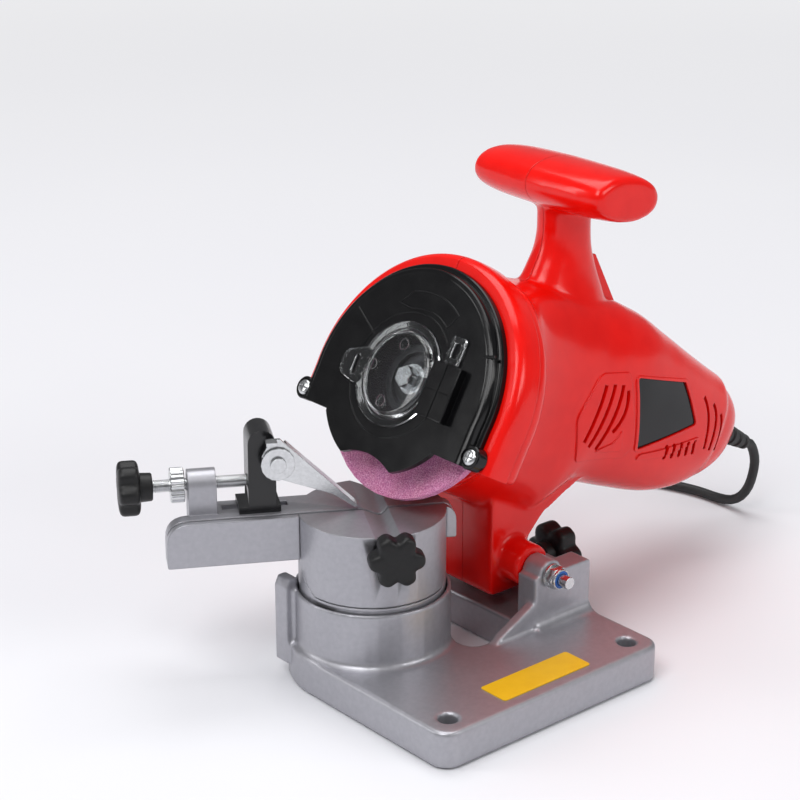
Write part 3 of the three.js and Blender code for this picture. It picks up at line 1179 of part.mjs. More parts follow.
function coilPoint(turn) {
  const layerTurns = cord.loops;
  const layer = Math.floor(turn / layerTurns);
  const inLayer = turn / layerTurns - layer;
  const inward = layer % 2 === 0 ? inLayer : 1 - inLayer;
  const half = cord.spacing * layerTurns / 2;
  const radius = cord.middle + half - inward * half * 2;
  const climb = Math.min(1, Math.max(0, (turn - layerTurns + cordShares.climb / 2) / cordShares.climb));
  const angle = coilStart - turn * Math.PI * 2;
  return new THREE.Vector3(cord.coilX + radius * Math.cos(angle), cord.coilY + radius * Math.sin(angle),
    cord.floor + cord.spacing * climb);
}

function tubeAlong(points, steps, count) {
  const path = new THREE.CatmullRomCurve3(points, false, 'centripetal');
  const shape = new THREE.Shape();
  for (let k = 0; k < count; k += 1) {
    const angle = (k + 0.5) / count * Math.PI * 2;
    if (k === 0) shape.moveTo(cord.radius * Math.cos(angle), cord.radius * Math.sin(angle));
    else shape.lineTo(cord.radius * Math.cos(angle), cord.radius * Math.sin(angle));
  }
  shape.closePath();
  return [new THREE.ExtrudeGeometry(shape, { steps, extrudePath: path, bevelEnabled: false }), path];
}

// A tube through given rings, kept upright: for the coil
function sweep(points, count) {
  const up = new THREE.Vector3(0, 0, 1);
  return loft(points.map((point, i) => {
    const along = points[Math.min(i + 1, points.length - 1)].clone().sub(points[Math.max(i - 1,
      0)]).normalize();
    const side = new THREE.Vector3().crossVectors(up, along).normalize();
    const rise = new THREE.Vector3().crossVectors(along, side);
    const circle = [];
    for (let k = 0; k < count; k += 1) {
      const angle = (k + 0.5) / count * Math.PI * 2;
      circle.push(point.clone().addScaledVector(side, cord.radius * Math.cos(angle))
        .addScaledVector(rise, cord.radius * Math.sin(angle)));
    }
    return circle;
  }));
}

function makeCord() {
  const exit = new THREE.Vector3(boot.tip + gap.seat, 0, boot.v).applyMatrix4(head.matrix);
  const turns = cord.loops * cord.layers;
  const coil = [];
  for (let k = 0; k <= turns * 24; k += 1) coil.push(coilPoint(k / 24));
  const heading = new THREE.Vector3(Math.sin(coilStart), -Math.cos(coilStart), 0);
  const first = coil[0].clone();
  const last = coil[coil.length - 1].clone();
  coil.unshift(first.clone().addScaledVector(heading, -cord.straight));
  const plugHeight = plug.high / 2;
  const lead = share => {
    const point = last.clone().addScaledVector(heading, cord.lead * share);
    const fall = Math.min(1, Math.max(0, (share - cordShares.fallStart) / cordShares.fall));
    point.z = last.z + (plugHeight - last.z) * fall * fall * (3 - 2 * fall);
    return point;
  };
  for (let k = 1; k <= 8; k += 1) coil.push(lead(k / 8));
  node('cord_coil', sweep(coil, 6), rubber);
  let least = Infinity;
  for (let i = 0; i < coil.length; i += 1) {
    for (let k = i + 12; k < coil.length; k += 1) least = Math.min(least, coil[i].distanceTo(coil[k]));
  }
  console.log('least gap between the turns of the coil', (least - cord.radius * 2).toFixed(3), 'mm');

  const meet = first.clone().addScaledVector(heading, -cord.straight - gap.seat);
  const run = [exit, ...routePoints.map(point => new THREE.Vector3(...point)),
    meet.clone().addScaledVector(heading, -cord.straight), meet];
  const [tube, path] = tubeAlong(run, 44, 8);
  node('cord_run', tube, rubber);
  let coilLong = 0;
  for (let i = 1; i < coil.length; i += 1) coilLong += coil[i].distanceTo(coil[i - 1]);
  console.log('cord length', (path.getLength() + coilLong).toFixed(1), 'mm');

  const end = coil[coil.length - 1].clone().addScaledVector(heading, gap.seat);
  const [wide, high] = [plug.wide / 2, plug.high / 2];
  const outline = rounded([[0, -plug.rear / 2, plug.chamfer], [plug.long, -wide, plug.chamfer],
    [plug.long, wide, plug.chamfer], [0, plug.rear / 2, plug.chamfer]]);
  const plugBody = join(slabZ(outline, -high, high, 3),
    ...[-1, 1].map(side => rod('x', plug.pin, plug.long - gap.over, plug.long + plug.pinLong,
      [side * plug.pinApart, 0], sides.small)));
  const turnPlug = new THREE.Matrix4().makeRotationZ(Math.atan2(heading.y, heading.x));
  turnPlug.setPosition(end.x, end.y, plugHeight);
  node('plug', plugBody.transform(turnPlug.elements), rubber);
}
makeCord();

export default machine;
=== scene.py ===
import math
from functools import partial
import bmesh
import bpy
import numpy as np
from mathutils import Matrix, Vector


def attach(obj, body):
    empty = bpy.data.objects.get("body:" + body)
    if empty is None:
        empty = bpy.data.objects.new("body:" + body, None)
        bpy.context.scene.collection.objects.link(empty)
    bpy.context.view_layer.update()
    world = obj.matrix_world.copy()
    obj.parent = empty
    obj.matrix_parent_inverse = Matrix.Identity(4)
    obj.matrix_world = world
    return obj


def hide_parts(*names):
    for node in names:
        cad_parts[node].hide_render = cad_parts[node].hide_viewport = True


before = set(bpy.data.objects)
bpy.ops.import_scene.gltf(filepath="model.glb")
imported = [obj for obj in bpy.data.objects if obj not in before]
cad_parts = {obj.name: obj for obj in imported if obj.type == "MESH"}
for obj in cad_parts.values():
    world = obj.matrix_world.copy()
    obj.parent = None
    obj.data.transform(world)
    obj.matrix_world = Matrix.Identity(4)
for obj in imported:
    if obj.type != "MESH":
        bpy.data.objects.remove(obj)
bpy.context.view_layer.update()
scene = bpy.context.scene
mm = 0.001

# Frames of the machine: the vice is turned on its swivel, the head is tilted about the hinge
viceTurn = math.radians(-30)
headTilt = math.radians(30)
wheelPlace = (31.0, 0.0, 133.6)
viceFrame = Matrix.Rotation(viceTurn, 4, "Z")
headFrame = Matrix.Translation(Vector(wheelPlace)) @ Matrix.Rotation(headTilt, 4, "Y")
plain = Matrix.Identity(4)


# Camera first
def makeCamera():
    data = bpy.data.cameras.new("camera")
    data.lens, data.sensor_width = 98.017, 36
    data.clip_start, data.clip_end = 0.05, 20
    camera = bpy.data.objects.new("camera", data)
    scene.collection.objects.link(camera)
    yaw, pitch = math.radians(40.635), math.radians(20.782)
    look = Vector((math.sin(yaw) * math.cos(pitch), math.cos(yaw) * math.cos(pitch), -math.sin(pitch)))
    camera.location = (-0.58085, -0.69641, 0.47771)
    camera.rotation_mode = "QUATERNION"
    camera.rotation_quaternion = look.to_track_quat("-Z", "Y")
    scene.camera = camera


makeCamera()
print("camera made")


# Mesh helpers
def link(name, mesh):
    item = bpy.data.objects.new(name, mesh)
    scene.collection.objects.link(item)
    return item


def meshOf(name, points, faces, place=plain):
    mesh = bpy.data.meshes.new(name)
    mesh.from_pydata([tuple(v * mm for v in place @ Vector(p)) for p in points], [], faces)
    mesh.update()
    item = link(name, mesh)
    faceOut(item)
    return item


def faceOut(item):
    work = bmesh.new()
    work.from_mesh(item.data)
    bmesh.ops.recalc_face_normals(work, faces=work.faces)
    if work.calc_volume(signed=True) < 0:
        bmesh.ops.reverse_faces(work, faces=work.faces)
    work.to_mesh(item.data)
    work.free()


def lofted(name, rings, place=plain):
    count = len(rings[0])
    points = [p for ring in rings for p in ring]
    faces = []
    for i in range(len(rings) - 1):
        for k in range(count):
            a, b = i * count + k, i * count + (k + 1) % count
            faces.append((a, b, b + count, a + count))
    faces.append(tuple(range(count)))
    faces.append(tuple(range(len(points) - count, len(points))))
    return meshOf(name, points, faces, place)


def axisPoint(axis, a, b, w):
    return {"z": (a, b, w), "y": (a, w, b), "x": (w, a, b)}[axis]


def extruded(name, outline, low, high, axis="z", place=plain):
    return lofted(name, [[axisPoint(axis, x, y, w) for x, y in outline] for w in (low, high)], place)


def turned(name, profile, axis="z", centre=(0, 0), place=plain, count=64):
    turns = np.arange(count) * 2 * math.pi / count
    rings = [[axisPoint(axis, centre[0] + r * math.cos(t), centre[1] + r * math.sin(t), w) for t in turns]
             for r, w in profile]
    return lofted(name, rings, place)


def rod(name, radius, low, high, axis="z", centre=(0, 0), place=plain, count=48):
    return turned(name, [(radius, low), (radius, high)], axis, centre, place, count)


def block(name, x0, x1, y0, y1, z0, z1, place=plain):
    return extruded(name, [(x0, y0), (x1, y0), (x1, y1), (x0, y1)], z0, z1, "z", place)


def bend(start, corner, end, t):
    return tuple((1 - t) ** 2 * a + 2 * t * (1 - t) * b + t * t * c for a, b, c in zip(start, corner, end))


def roundedOutline(corners, steps=6):
    points, count = [], len(corners)
    for i, corner in enumerate(corners):
        x, y, radius = (*corner, 0)[:3]
        px, py = corners[i - 1][:2]
        nx, ny = corners[(i + 1) % count][:2]
        before, after = math.hypot(px - x, py - y), math.hypot(nx - x, ny - y)
        turn = math.acos(((px - x) * (nx - x) + (py - y) * (ny - y)) / (before * after))
        reach = 0 if radius == 0 else min(radius / math.tan(turn / 2), before * 0.49, after * 0.49)
        if reach == 0:
            points.append((x, y))
            continue
        start = (x + (px - x) * reach / before, y + (py - y) * reach / before)
        end = (x + (nx - x) * reach / after, y + (ny - y) * reach / after)
        points += [bend(start, (x, y), end, k / steps) for k in range(steps + 1)]
    return points


def applied(item):
    graph = bpy.context.evaluated_depsgraph_get()
    mesh = bpy.data.meshes.new_from_object(item.evaluated_get(graph))
    item.modifiers.clear()
    item.data = mesh
    return item


def remove(*items):
    for item in items:
        bpy.data.objects.remove(item)


def boolean(item, cutters, operation="DIFFERENCE"):
    for cutter in cutters:
        change = item.modifiers.new("cut", "BOOLEAN")
        change.operation, change.object, change.solver = operation, cutter, "MANIFOLD"
    applied(item)
    remove(*cutters)
    return item


def joined(name, items):
    work = bmesh.new()
    for item in items:
        work.from_mesh(item.data)
    mesh = bpy.data.meshes.new(name)
    work.to_mesh(mesh)
    work.free()
    remove(*items)
    return link(name, mesh)


def softened(item, voxel, passes, factor=0.5):
    change = item.modifiers.new("remesh", "REMESH")
    change.mode, change.voxel_size, change.adaptivity = "VOXEL", voxel * mm, 0
    applied(item)
    change = item.modifiers.new("smooth", "SMOOTH")
    change.factor, change.iterations = factor, passes
    return applied(item)


def shade(item, angle=35):
    item.data.shade_smooth()
    item.data.set_sharp_from_angle(angle=math.radians(angle))
    return item


def bevelled(item, width, segments=2, angle=30):
    change = item.modifiers.new("bevel", "BEVEL")
    change.width, change.segments, change.limit_method = width * mm, segments, "ANGLE"
    change.angle_limit = math.radians(angle)
    change.harden_normals = False
    applied(item)
    return shade(item, 40)


def dress(item, look, body, nodes=()):
    material, slot = look
    item.data.materials.clear()
    item.data.materials.append(material)
    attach(item, body)
    if nodes:
        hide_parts(*nodes)
    return item


def copyOf(node, name, angle=32):
    work = bmesh.new()
    work.from_mesh(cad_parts[node].data)
    bmesh.ops.remove_doubles(work, verts=work.verts, dist=0.00001)
    bmesh.ops.dissolve_limit(work, angle_limit=math.radians(0.6), verts=work.verts, edges=work.edges)
    mesh = bpy.data.meshes.new(name)
    work.to_mesh(mesh)
    work.free()
    return shade(link(name, mesh), angle)


# Node helpers: a value may be a number, a socket, a node (its first output) or a list of these
def plugIn(tree, socket, value):
    for part in value if isinstance(value, list) else [value]:
        source = part.outputs[0] if isinstance(part, bpy.types.Node) else part
        if isinstance(source, bpy.types.NodeSocket):
            tree.links.new(source, socket)
        else:
            socket.default_value = source


def fill(tree, node, values):
    for label, value in dict(values).items():
        plugIn(tree, node.inputs[label], value)


def step(tree, kind, values=(), **settings):
    node = tree.nodes.new(kind)
    for label, value in settings.items():
        setattr(node, label, value)
    fill(tree, node, values)
    return node


def maths(tree, kind, *values):
    return step(tree, "ShaderNodeMath", dict(enumerate(values)), operation=kind)


def vectorMaths(tree, kind, *values):
    return step(tree, "ShaderNodeVectorMath", dict(enumerate(values)), operation=kind)


def colourRamp(tree, value, *stops):
    node = step(tree, "ShaderNodeValToRGB", {"Fac": value})
    elements = node.color_ramp.elements
    for element, (position, colour) in zip(elements, (stops[0], stops[-1])):
        element.position, element.color = position, (*colour, 1)
    for position, colour in stops[1:-1]:
        elements.new(position).color = (*colour, 1)
    return node


def objectPlace(tree):
    return step(tree, "ShaderNodeTexCoord").outputs["Object"]


# Materials: each look is a material and the slot of the record it stands for
def newMaterial(name):
    material = bpy.data.materials.new(name)
    material.use_nodes = True
    tree = material.node_tree
    return material, tree, tree.nodes["Principled BSDF"]


def grainGroup():
    tree = bpy.data.node_groups.new("surfaceRelief", "ShaderNodeTree")
    inputs = {"Scale": 400.0, "Fine Scale": 2500.0, "Height": 0.1, "Fine Height": 0.05, "Edge": 0.0005}
    for name, value in inputs.items():
        socket = tree.interface.new_socket(name, in_out="INPUT", socket_type="NodeSocketFloat")
        socket.default_value = value
    for name, kind in (("Normal", "Vector"), ("Mottle", "Float")):
        tree.interface.new_socket(name, in_out="OUTPUT", socket_type="NodeSocket" + kind)
    given, place = tree.nodes.new("NodeGroupInput").outputs, objectPlace(tree)
    coarse = step(tree, "ShaderNodeTexNoise", {"Vector": place, "Scale": given["Scale"], "Detail": 3})
    fine = step(tree, "ShaderNodeTexNoise", {"Vector": place, "Scale": given["Fine Scale"], "Detail": 2})
    normal = step(tree, "ShaderNodeBevel", {"Radius": given["Edge"]}, samples=4)
    for noise, height in ((coarse, given["Height"]), (fine, given["Fine Height"])):
        normal = step(tree, "ShaderNodeBump", {
            "Distance": 0.001, "Strength": height, "Height": noise, "Normal": normal})
    step(tree, "NodeGroupOutput", {"Normal": normal, "Mottle": coarse})
    return tree


relief = grainGroup()


def surface(name, slot, low, high, rough, scale, fine, height, fineHeight, edge, metal=0.0, spread=0.08,
            specular=0.5):
    material, tree, shader = newMaterial(name)
    grain = step(tree, "ShaderNodeGroup", {
        "Scale": scale, "Fine Scale": fine, "Height": height, "Fine Height": fineHeight, "Edge": edge},
        node_tree=relief)
    mottle = grain.outputs["Mottle"]
    tint = colourRamp(tree, mottle, (0.3, low), (0.7, high))
    gloss = step(tree, "ShaderNodeMapRange", {
        "Value": mottle, "To Min": rough - spread / 2, "To Max": rough + spread / 2})
    fill(tree, shader, {"Base Color": tint, "Roughness": gloss, "Normal": grain.outputs["Normal"],
                        "Metallic": metal, "Specular IOR Level": specular})
    return material, slot


redPlastic = surface("redPlastic", "red_shell", (0.76, 0.004, 0.002), (0.82, 0.006, 0.003), 0.19, scale=90,
                     fine=1400, height=0.015, fineHeight=0.01, edge=0.0007, spread=0.05, specular=0.36)
blackGloss = surface("blackGloss", "black_cover", (0.003, 0.003, 0.0035), (0.0045, 0.0045, 0.005), 0.17,
                     scale=120, fine=1600, height=0.015, fineHeight=0.01, edge=0.0004, specular=0.3)
blackMatte = surface("blackMatte", "knob_plastic", (0.006, 0.006, 0.0065), (0.009, 0.009, 0.0095), 0.44,
                     scale=500, fine=3000, height=0.05, fineHeight=0.05, edge=0.0006, specular=0.35)
castAlloy = surface("castAlloy", "cast_aluminium", (0.385, 0.383, 0.415), (0.425, 0.423, 0.455), 0.38,
                    scale=420, fine=2300, height=0.035, fineHeight=0.05, edge=0.0009, metal=0.7, spread=0.05)
zincSteel = surface("zincSteel", "zinc_steel", (0.58, 0.59, 0.60), (0.70, 0.71, 0.72), 0.24, scale=700,
                    fine=2600, height=0.03, fineHeight=0.03, edge=0.0004, metal=1.0, spread=0.12)
blackPaint = surface("blackPaint", "bracket_paint", (0.008, 0.008, 0.009), (0.012, 0.012, 0.013), 0.22,
                     scale=300, fine=1500, height=0.03, fineHeight=0.02, edge=0.0004)
cordRubber = surface("cordRubber", "cord_rubber", (0.010, 0.010, 0.011), (0.015, 0.015, 0.016), 0.5,
                     scale=300, fine=2500, height=0.03, fineHeight=0.05, edge=0.0004)
yellowLabel = surface("yellowLabel", "yellow_label", (0.80, 0.46, 0.012), (0.84, 0.50, 0.016), 0.35,
                      scale=200, fine=1500, height=0.01, fineHeight=0.01, edge=0.0001)
labelBlack = surface("labelBlack", "black_label", (0.006, 0.006, 0.007), (0.009, 0.009, 0.010), 0.14,
                     scale=100, fine=1500, height=0.01, fineHeight=0.008, edge=0.0003, specular=0.3)
darkSteel = surface("darkSteel", "zinc_steel", (0.020, 0.019, 0.022), (0.028, 0.027, 0.031), 0.42, scale=600,
                    fine=2500, height=0.04, fineHeight=0.03, edge=0.0004, metal=0.4)
blueNylon = surface("blueNylon", None, (0.01, 0.10, 0.42), (0.012, 0.12, 0.48), 0.4, scale=500, fine=2500,
                    height=0.02, fineHeight=0.02, edge=0.0003)


def makeClear():
    material, tree, shader = newMaterial("clearPlastic")
    noise = step(tree, "ShaderNodeTexNoise", {"Vector": objectPlace(tree), "Scale": 60})
    bevel = step(tree, "ShaderNodeBevel", {"Radius": 0.0004})
    bump = step(tree, "ShaderNodeBump", {
        "Strength": 0.05, "Distance": 0.001, "Height": noise, "Normal": bevel})
    fill(tree, shader, {"Base Color": (0.94, 0.96, 0.97, 1), "Roughness": 0.04, "Transmission Weight": 1.0,
                        "IOR": 1.45, "Normal": bump})
    return material, "clear_pane"


def makeAbrasive():
    material, tree, shader = newMaterial("abrasive")
    place, shadeRadius = objectPlace(tree), 0.034
    grain = step(tree, "ShaderNodeTexVoronoi", {"Vector": place, "Scale": 1500})
    pores = step(tree, "ShaderNodeTexNoise", {"Vector": place, "Scale": 1900, "Detail": 3})
    cloud = step(tree, "ShaderNodeTexNoise", {"Vector": place, "Scale": 60})
    ramp = colourRamp(tree, pores, (0.34, (0.46, 0.11, 0.27)), (0.5, (0.74, 0.22, 0.45)),
                      (0.66, (0.93, 0.52, 0.74)))
    # inputs 6 and 7 and output 2 of a mix node are its colours
    mix = step(tree, "ShaderNodeMix", {"Factor": 0.25, 6: ramp, 7: cloud.outputs["Color"]},
               data_type="RGBA", blend_type="SOFT_LIGHT")
    # the middle of the wheel near the axle is painted dark: painted shade for the shade inside the closed
    # cover, seen through the window
    away = vectorMaths(tree, "SUBTRACT", place, Vector(wheelPlace) * mm)
    onAxis = vectorMaths(tree, "PROJECT", away, headFrame.to_3x3() @ Vector((1, 0, 0)))
    apart = vectorMaths(tree, "LENGTH", vectorMaths(tree, "SUBTRACT", away, onAxis)).outputs["Value"]
    # this mix lays the dark painted shade over the wheel's middle
    label = step(tree, "ShaderNodeMix", {
        "Factor": maths(tree, "LESS_THAN", apart, shadeRadius), 6: mix.outputs[2], 7: (0.022, 0.016, 0.022, 1)},
        data_type="RGBA")
    bump = step(tree, "ShaderNodeBump", {"Strength": 0.7, "Distance": 0.0006, "Height": grain})
    fill(tree, shader, {"Base Color": label.outputs[2], "Normal": bump, "Roughness": 0.9})
    return material, "abrasive"


clearPlastic, abrasive = makeClear(), makeAbrasive()
print("materials made")


# Geometry Nodes: trees with named inputs, whose results become plain meshes
def newTree(name, inputs):
    tree = bpy.data.node_groups.new(name, "GeometryNodeTree")
    kinds, sockets = {float: "Float", int: "Int", tuple: "Vector"}, {}
    for label, value in {**inputs, "Material": "Material"}.items():
        kind = kinds.get(type(value), value)
        socket = tree.interface.new_socket(label, in_out="INPUT", socket_type=f"NodeSocket{kind}")
        if type(value) in kinds:
            socket.default_value = value
        sockets[label] = socket.identifier
    tree.interface.new_socket("Geometry", in_out="OUTPUT", socket_type="NodeSocketGeometry")
    return tree, sockets, tree.nodes.new("NodeGroupInput").outputs


def finished(tree, given, geometry):
    dressed = step(tree, "GeometryNodeSetMaterial", {"Geometry": geometry, "Material": given["Material"]})
    step(tree, "NodeGroupOutput", {0: dressed})


def repeated(tree, given, points, instance):
    spread = step(tree, "GeometryNodeInstanceOnPoints", {
        "Points": points, "Instance": instance, "Rotation": given["Rotation"]})
    finished(tree, given, step(tree, "GeometryNodeRealizeInstances", {"Geometry": spread}))


def gridPlace(tree):
    return step(tree, "ShaderNodeSeparateXYZ", {"Vector": step(tree, "GeometryNodeInputPosition")}).outputs


def vector(tree, **axes):
    return step(tree, "ShaderNodeCombineXYZ", axes)


# a grid of angles is wrapped round the axis, and its closed ends are merged
def wrapped(tree, reach, height, around, along):
    calc, turn, seam = partial(maths, tree), gridPlace(tree)["X"], 2e-6
    grid = step(tree, "GeometryNodeMeshGrid", {
        "Size X": 2 * math.pi, "Size Y": math.pi, "Vertices X": around, "Vertices Y": along})
    point = vector(tree, X=calc("MULTIPLY", reach, calc("COSINE", turn)),
                   Y=calc("MULTIPLY", reach, calc("SINE", turn)), Z=height)
    moved = step(tree, "GeometryNodeSetPosition", {"Geometry": grid, "Position": point})
    return step(tree, "GeometryNodeMergeByDistance", {"Geometry": moved, "Distance": seam})


def roundedProfile(tree, radius, length, squareness):
    calc, up, pole = partial(maths, tree), gridPlace(tree)["Y"], 0.03
    power = calc("DIVIDE", 2.0, squareness)
    out = calc("POWER", calc("ABSOLUTE", calc("COSINE", up)), power)
    out = calc("DIVIDE", calc("MAXIMUM", calc("SUBTRACT", out, pole), 0.0), 1 - pole)
    rise = calc("SINE", up)
    high = calc("MULTIPLY", calc("SIGN", rise), calc("POWER", calc("ABSOLUTE", rise), power))
    return calc("MULTIPLY", radius, out), calc("MULTIPLY", calc("MULTIPLY", length, 0.5), high)


def lobedTree():
    tree, sockets, given = newTree("lobedBody", {
        "Radius": 0.0126, "Lobe Depth": 0.003, "Lobes": 6.0, "Length": 0.0105, "Squareness": 8.0,
        "Valley Power": 1.0})
    calc = partial(maths, tree)
    wave = calc("COSINE", calc("MULTIPLY", gridPlace(tree)["X"], given["Lobes"]))
    valley = calc("POWER", calc("MULTIPLY", calc("SUBTRACT", 1.0, wave), 0.5), given["Valley Power"])
    radius = calc("SUBTRACT", given["Radius"], calc("MULTIPLY", given["Lobe Depth"], valley))
    reach, height = roundedProfile(tree, radius, given["Length"], given["Squareness"])
    finished(tree, given, wrapped(tree, reach, height, 193, 45))
    return tree, sockets


def sleeveTree():
    tree, sockets, given = newTree("ribbedSleeve", {
        "Root Radius": 0.0064, "End Radius": 0.0039, "Length": 0.026, "Rings": 4.0, "Groove": 0.0008,
        "Groove Share": 0.45, "Helix": 0.0})
    calc, split = partial(maths, tree), gridPlace(tree)
    # the grid runs past both ends, where the radius falls to nothing and closes them
    overrun, closed, steepness = 1.01, 0.502, 2.5
    place = calc("ADD", calc("MULTIPLY", split["Y"], overrun / math.pi), 0.5)
    along = calc("MINIMUM", calc("MAXIMUM", place, 0.0), 1.0)
    inside = calc("LESS_THAN", calc("ABSOLUTE", calc("SUBTRACT", place, 0.5)), closed)
    turn = calc("MULTIPLY", calc("DIVIDE", split["X"], 2 * math.pi), given["Helix"])
    phase = calc("ADD", calc("MULTIPLY", along, given["Rings"]), turn)
    wave = calc("MULTIPLY", calc("COSINE", calc("MULTIPLY", phase, 2 * math.pi)), -1.0)
    edge = calc("COSINE", calc("MULTIPLY", given["Groove Share"], math.pi))
    steep = calc("MULTIPLY", calc("SUBTRACT", wave, edge), steepness)
    dip = calc("MINIMUM", calc("MAXIMUM", steep, 0.0), 1.0)
    taper = calc("MULTIPLY", along, calc("SUBTRACT", given["End Radius"], given["Root Radius"]))
    groove = calc("MULTIPLY", dip, given["Groove"])
    radius = calc("SUBTRACT", calc("ADD", given["Root Radius"], taper), groove)
    reach, height = calc("MULTIPLY", radius, inside), calc("MULTIPLY", along, given["Length"])
    finished(tree, given, wrapped(tree, reach, height, 33, 480))
    return tree, sockets


def screwTree():
    tree, sockets, given = newTree("screwSet", {
        "Points": "Geometry", "Head Radius": 0.0038, "Head Length": 0.002, "Shank Radius": 0.0018,
        "Shank Length": 0.01, "Cross": 0.0028, "Rotation": (0, 0, 0)})
    calc, squareness, barShare, liftShare = partial(maths, tree), 3.2, 0.26, 0.55
    reach, height = roundedProfile(tree, given["Head Radius"], given["Head Length"], squareness)
    head = wrapped(tree, reach, height, 33, 13)
    wide, long = calc("MULTIPLY", given["Cross"], barShare), calc("MULTIPLY", given["Cross"], 2.0)
    lift = vector(tree, Z=calc("MULTIPLY", given["Head Length"], liftShare))
    bars = []
    for first, second in ((long, wide), (wide, long)):
        size = vector(tree, X=first, Y=second, Z=given["Head Length"])
        bar = step(tree, "GeometryNodeMeshCube", {"Size": size})
        bars.append(step(tree, "GeometryNodeTransform", {"Geometry": bar, "Translation": lift}))
    cross = step(tree, "GeometryNodeMeshBoolean", {"Mesh 2": bars}, operation="UNION")
    cut = step(tree, "GeometryNodeMeshBoolean", {"Mesh 1": head, "Mesh 2": cross}, operation="DIFFERENCE")
    shank = step(tree, "GeometryNodeMeshCylinder", {
        "Vertices": 20, "Radius": given["Shank Radius"], "Depth": given["Shank Length"]})
    drop = vector(tree, Z=calc("MULTIPLY", given["Shank Length"], -0.5))
    low = step(tree, "GeometryNodeTransform", {"Geometry": shank, "Translation": drop})
    repeated(tree, given, given["Points"], step(tree, "GeometryNodeJoinGeometry", {"Geometry": [cut, low]}))
    return tree, sockets


def slotRowTree():
    tree, sockets, given = newTree("slotRow", {
        "Count": 5, "Start": (0, 0, 0), "Spacing": (0.005, 0, 0), "Wide": 0.0024, "Long": 0.006, "Deep": 0.04,
        "Rotation": (0, 0, 0)})
    calc, nudge = partial(maths, tree), 1e-7
    barrel = step(tree, "GeometryNodeMeshCylinder", {
        "Vertices": 24, "Radius": calc("MULTIPLY", given["Wide"], 0.5), "Depth": given["Deep"]})
    # the barrel's halves move apart, and the nudge gives its middle points a side
    side = calc("SIGN", calc("ADD", gridPlace(tree)["X"], nudge))
    push = vector(tree, X=calc("MULTIPLY", side, calc("MULTIPLY", given["Long"], 0.5)))
    slot = step(tree, "GeometryNodeSetPosition", {"Geometry": barrel, "Offset": push})
    row = step(tree, "GeometryNodeMeshLine", {
        "Count": given["Count"], "Start Location": given["Start"], "Offset": given["Spacing"]})
    repeated(tree, given, row, slot)
    return tree, sockets


def grown(name, kind, look, values, place=plain, points=()):
    tree, sockets = kind
    mesh = bpy.data.meshes.new(name)
    mesh.from_pydata(points, [], [])
    item = link(name, mesh)
    change = item.modifiers.new("grow", "NODES")
    change.node_group = tree
    for label, value in {**values, "Material": look[0]}.items():
        change[sockets[label]] = value
    applied(item)
    metric = place.copy()
    metric.translation *= mm
    item.data.transform(metric)
    faceOut(item)
    return item


lobedBody, ribbedSleeve, screwSet, slotRow = lobedTree(), sleeveTree(), screwTree(), slotRowTree()
print("node trees made")


# Cords
cord = {"radius": 2.6, "loops": 4, "middle": 31.0, "spacing": 5.8, "x": 290.0, "y": 122.0, "lead": 34.0,
        "straight": 5.6, "gap": 0.3, "floor": 2.8, "start": math.pi / 2}
route = [(262.6, 0, 43.9), (265.9, 0, 38.7), (267.8, 0.2, 32), (268, 1.2, 24.5), (268.1, 3.6, 16.6),
         (268.2, 8.4, 9.3), (268.3, 15.4, 4.6), (268.4, 24.5, 2.8), (267, 38, 2.8), (263, 52, 2.8),
         (257, 66, 2.8), (251.2, 80, 2.8), (246.9, 94, 2.8), (244.7, 108, 2.8), (244.5, 122, 2.8),
         (248.4, 139.2, 2.8), (257.5, 152.5, 2.8), (268.5, 160.7, 2.8)]
boot = {"start": 203.5, "sleeve": 213.5, "tip": 240.0, "v": 37.6, "collar": 8.0, "collarLong": 2.4,
        "edge": 0.4, "overlap": 0.5, "root": 6.4, "end": 3.9}
plug = {"wide": 35.0, "high": 13.4, "long": 34.0, "rear": 16.0, "pin": 2.0, "pinLong": 19.0, "apart": 9.0,
        "round": 2.2, "pinRound": 0.8}


def coilPoint(turn):
    layer = math.floor(turn / cord["loops"])
    share = turn / cord["loops"] - layer
    inward = share if layer % 2 == 0 else 1 - share
    half = cord["spacing"] * cord["loops"] / 2
    radius = cord["middle"] + half - inward * half * 2
    climb = min(1, max(0, (turn - cord["loops"] + 0.25) * 2))
    angle = cord["start"] - turn * math.pi * 2
    return Vector((cord["x"] + radius * math.cos(angle), cord["y"] + radius * math.sin(angle),
                   cord["floor"] + cord["spacing"] * climb))


def splineThrough(points, step):
    points = [Vector(p) for p in points]
    padded = [points[0] * 2 - points[1], *points, points[-1] * 2 - points[-2]]
    out = [points[0]]
    for i in range(1, len(padded) - 2):
        p0, p1, p2, p3 = padded[i - 1:i + 3]
        t0, t1 = 0, (p1 - p0).length ** 0.5
        t2 = t1 + (p2 - p1).length ** 0.5
        t3 = t2 + (p3 - p2).length ** 0.5
        count = max(1, round((p2 - p1).length / step))
        for k in range(1, count + 1):
            t = t1 + (t2 - t1) * k / count
            a1 = p0 * ((t1 - t) / (t1 - t0)) + p1 * ((t - t0) / (t1 - t0))
            a2 = p1 * ((t2 - t) / (t2 - t1)) + p2 * ((t - t1) / (t2 - t1))
            a3 = p2 * ((t3 - t) / (t3 - t2)) + p3 * ((t - t2) / (t3 - t2))
            b1 = a1 * ((t2 - t) / (t2 - t0)) + a2 * ((t - t0) / (t2 - t0))
            b2 = a2 * ((t3 - t) / (t3 - t1)) + a3 * ((t - t1) / (t3 - t1))
            out.append(b1 * ((t2 - t) / (t2 - t1)) + b2 * ((t - t1) / (t2 - t1)))
    return out


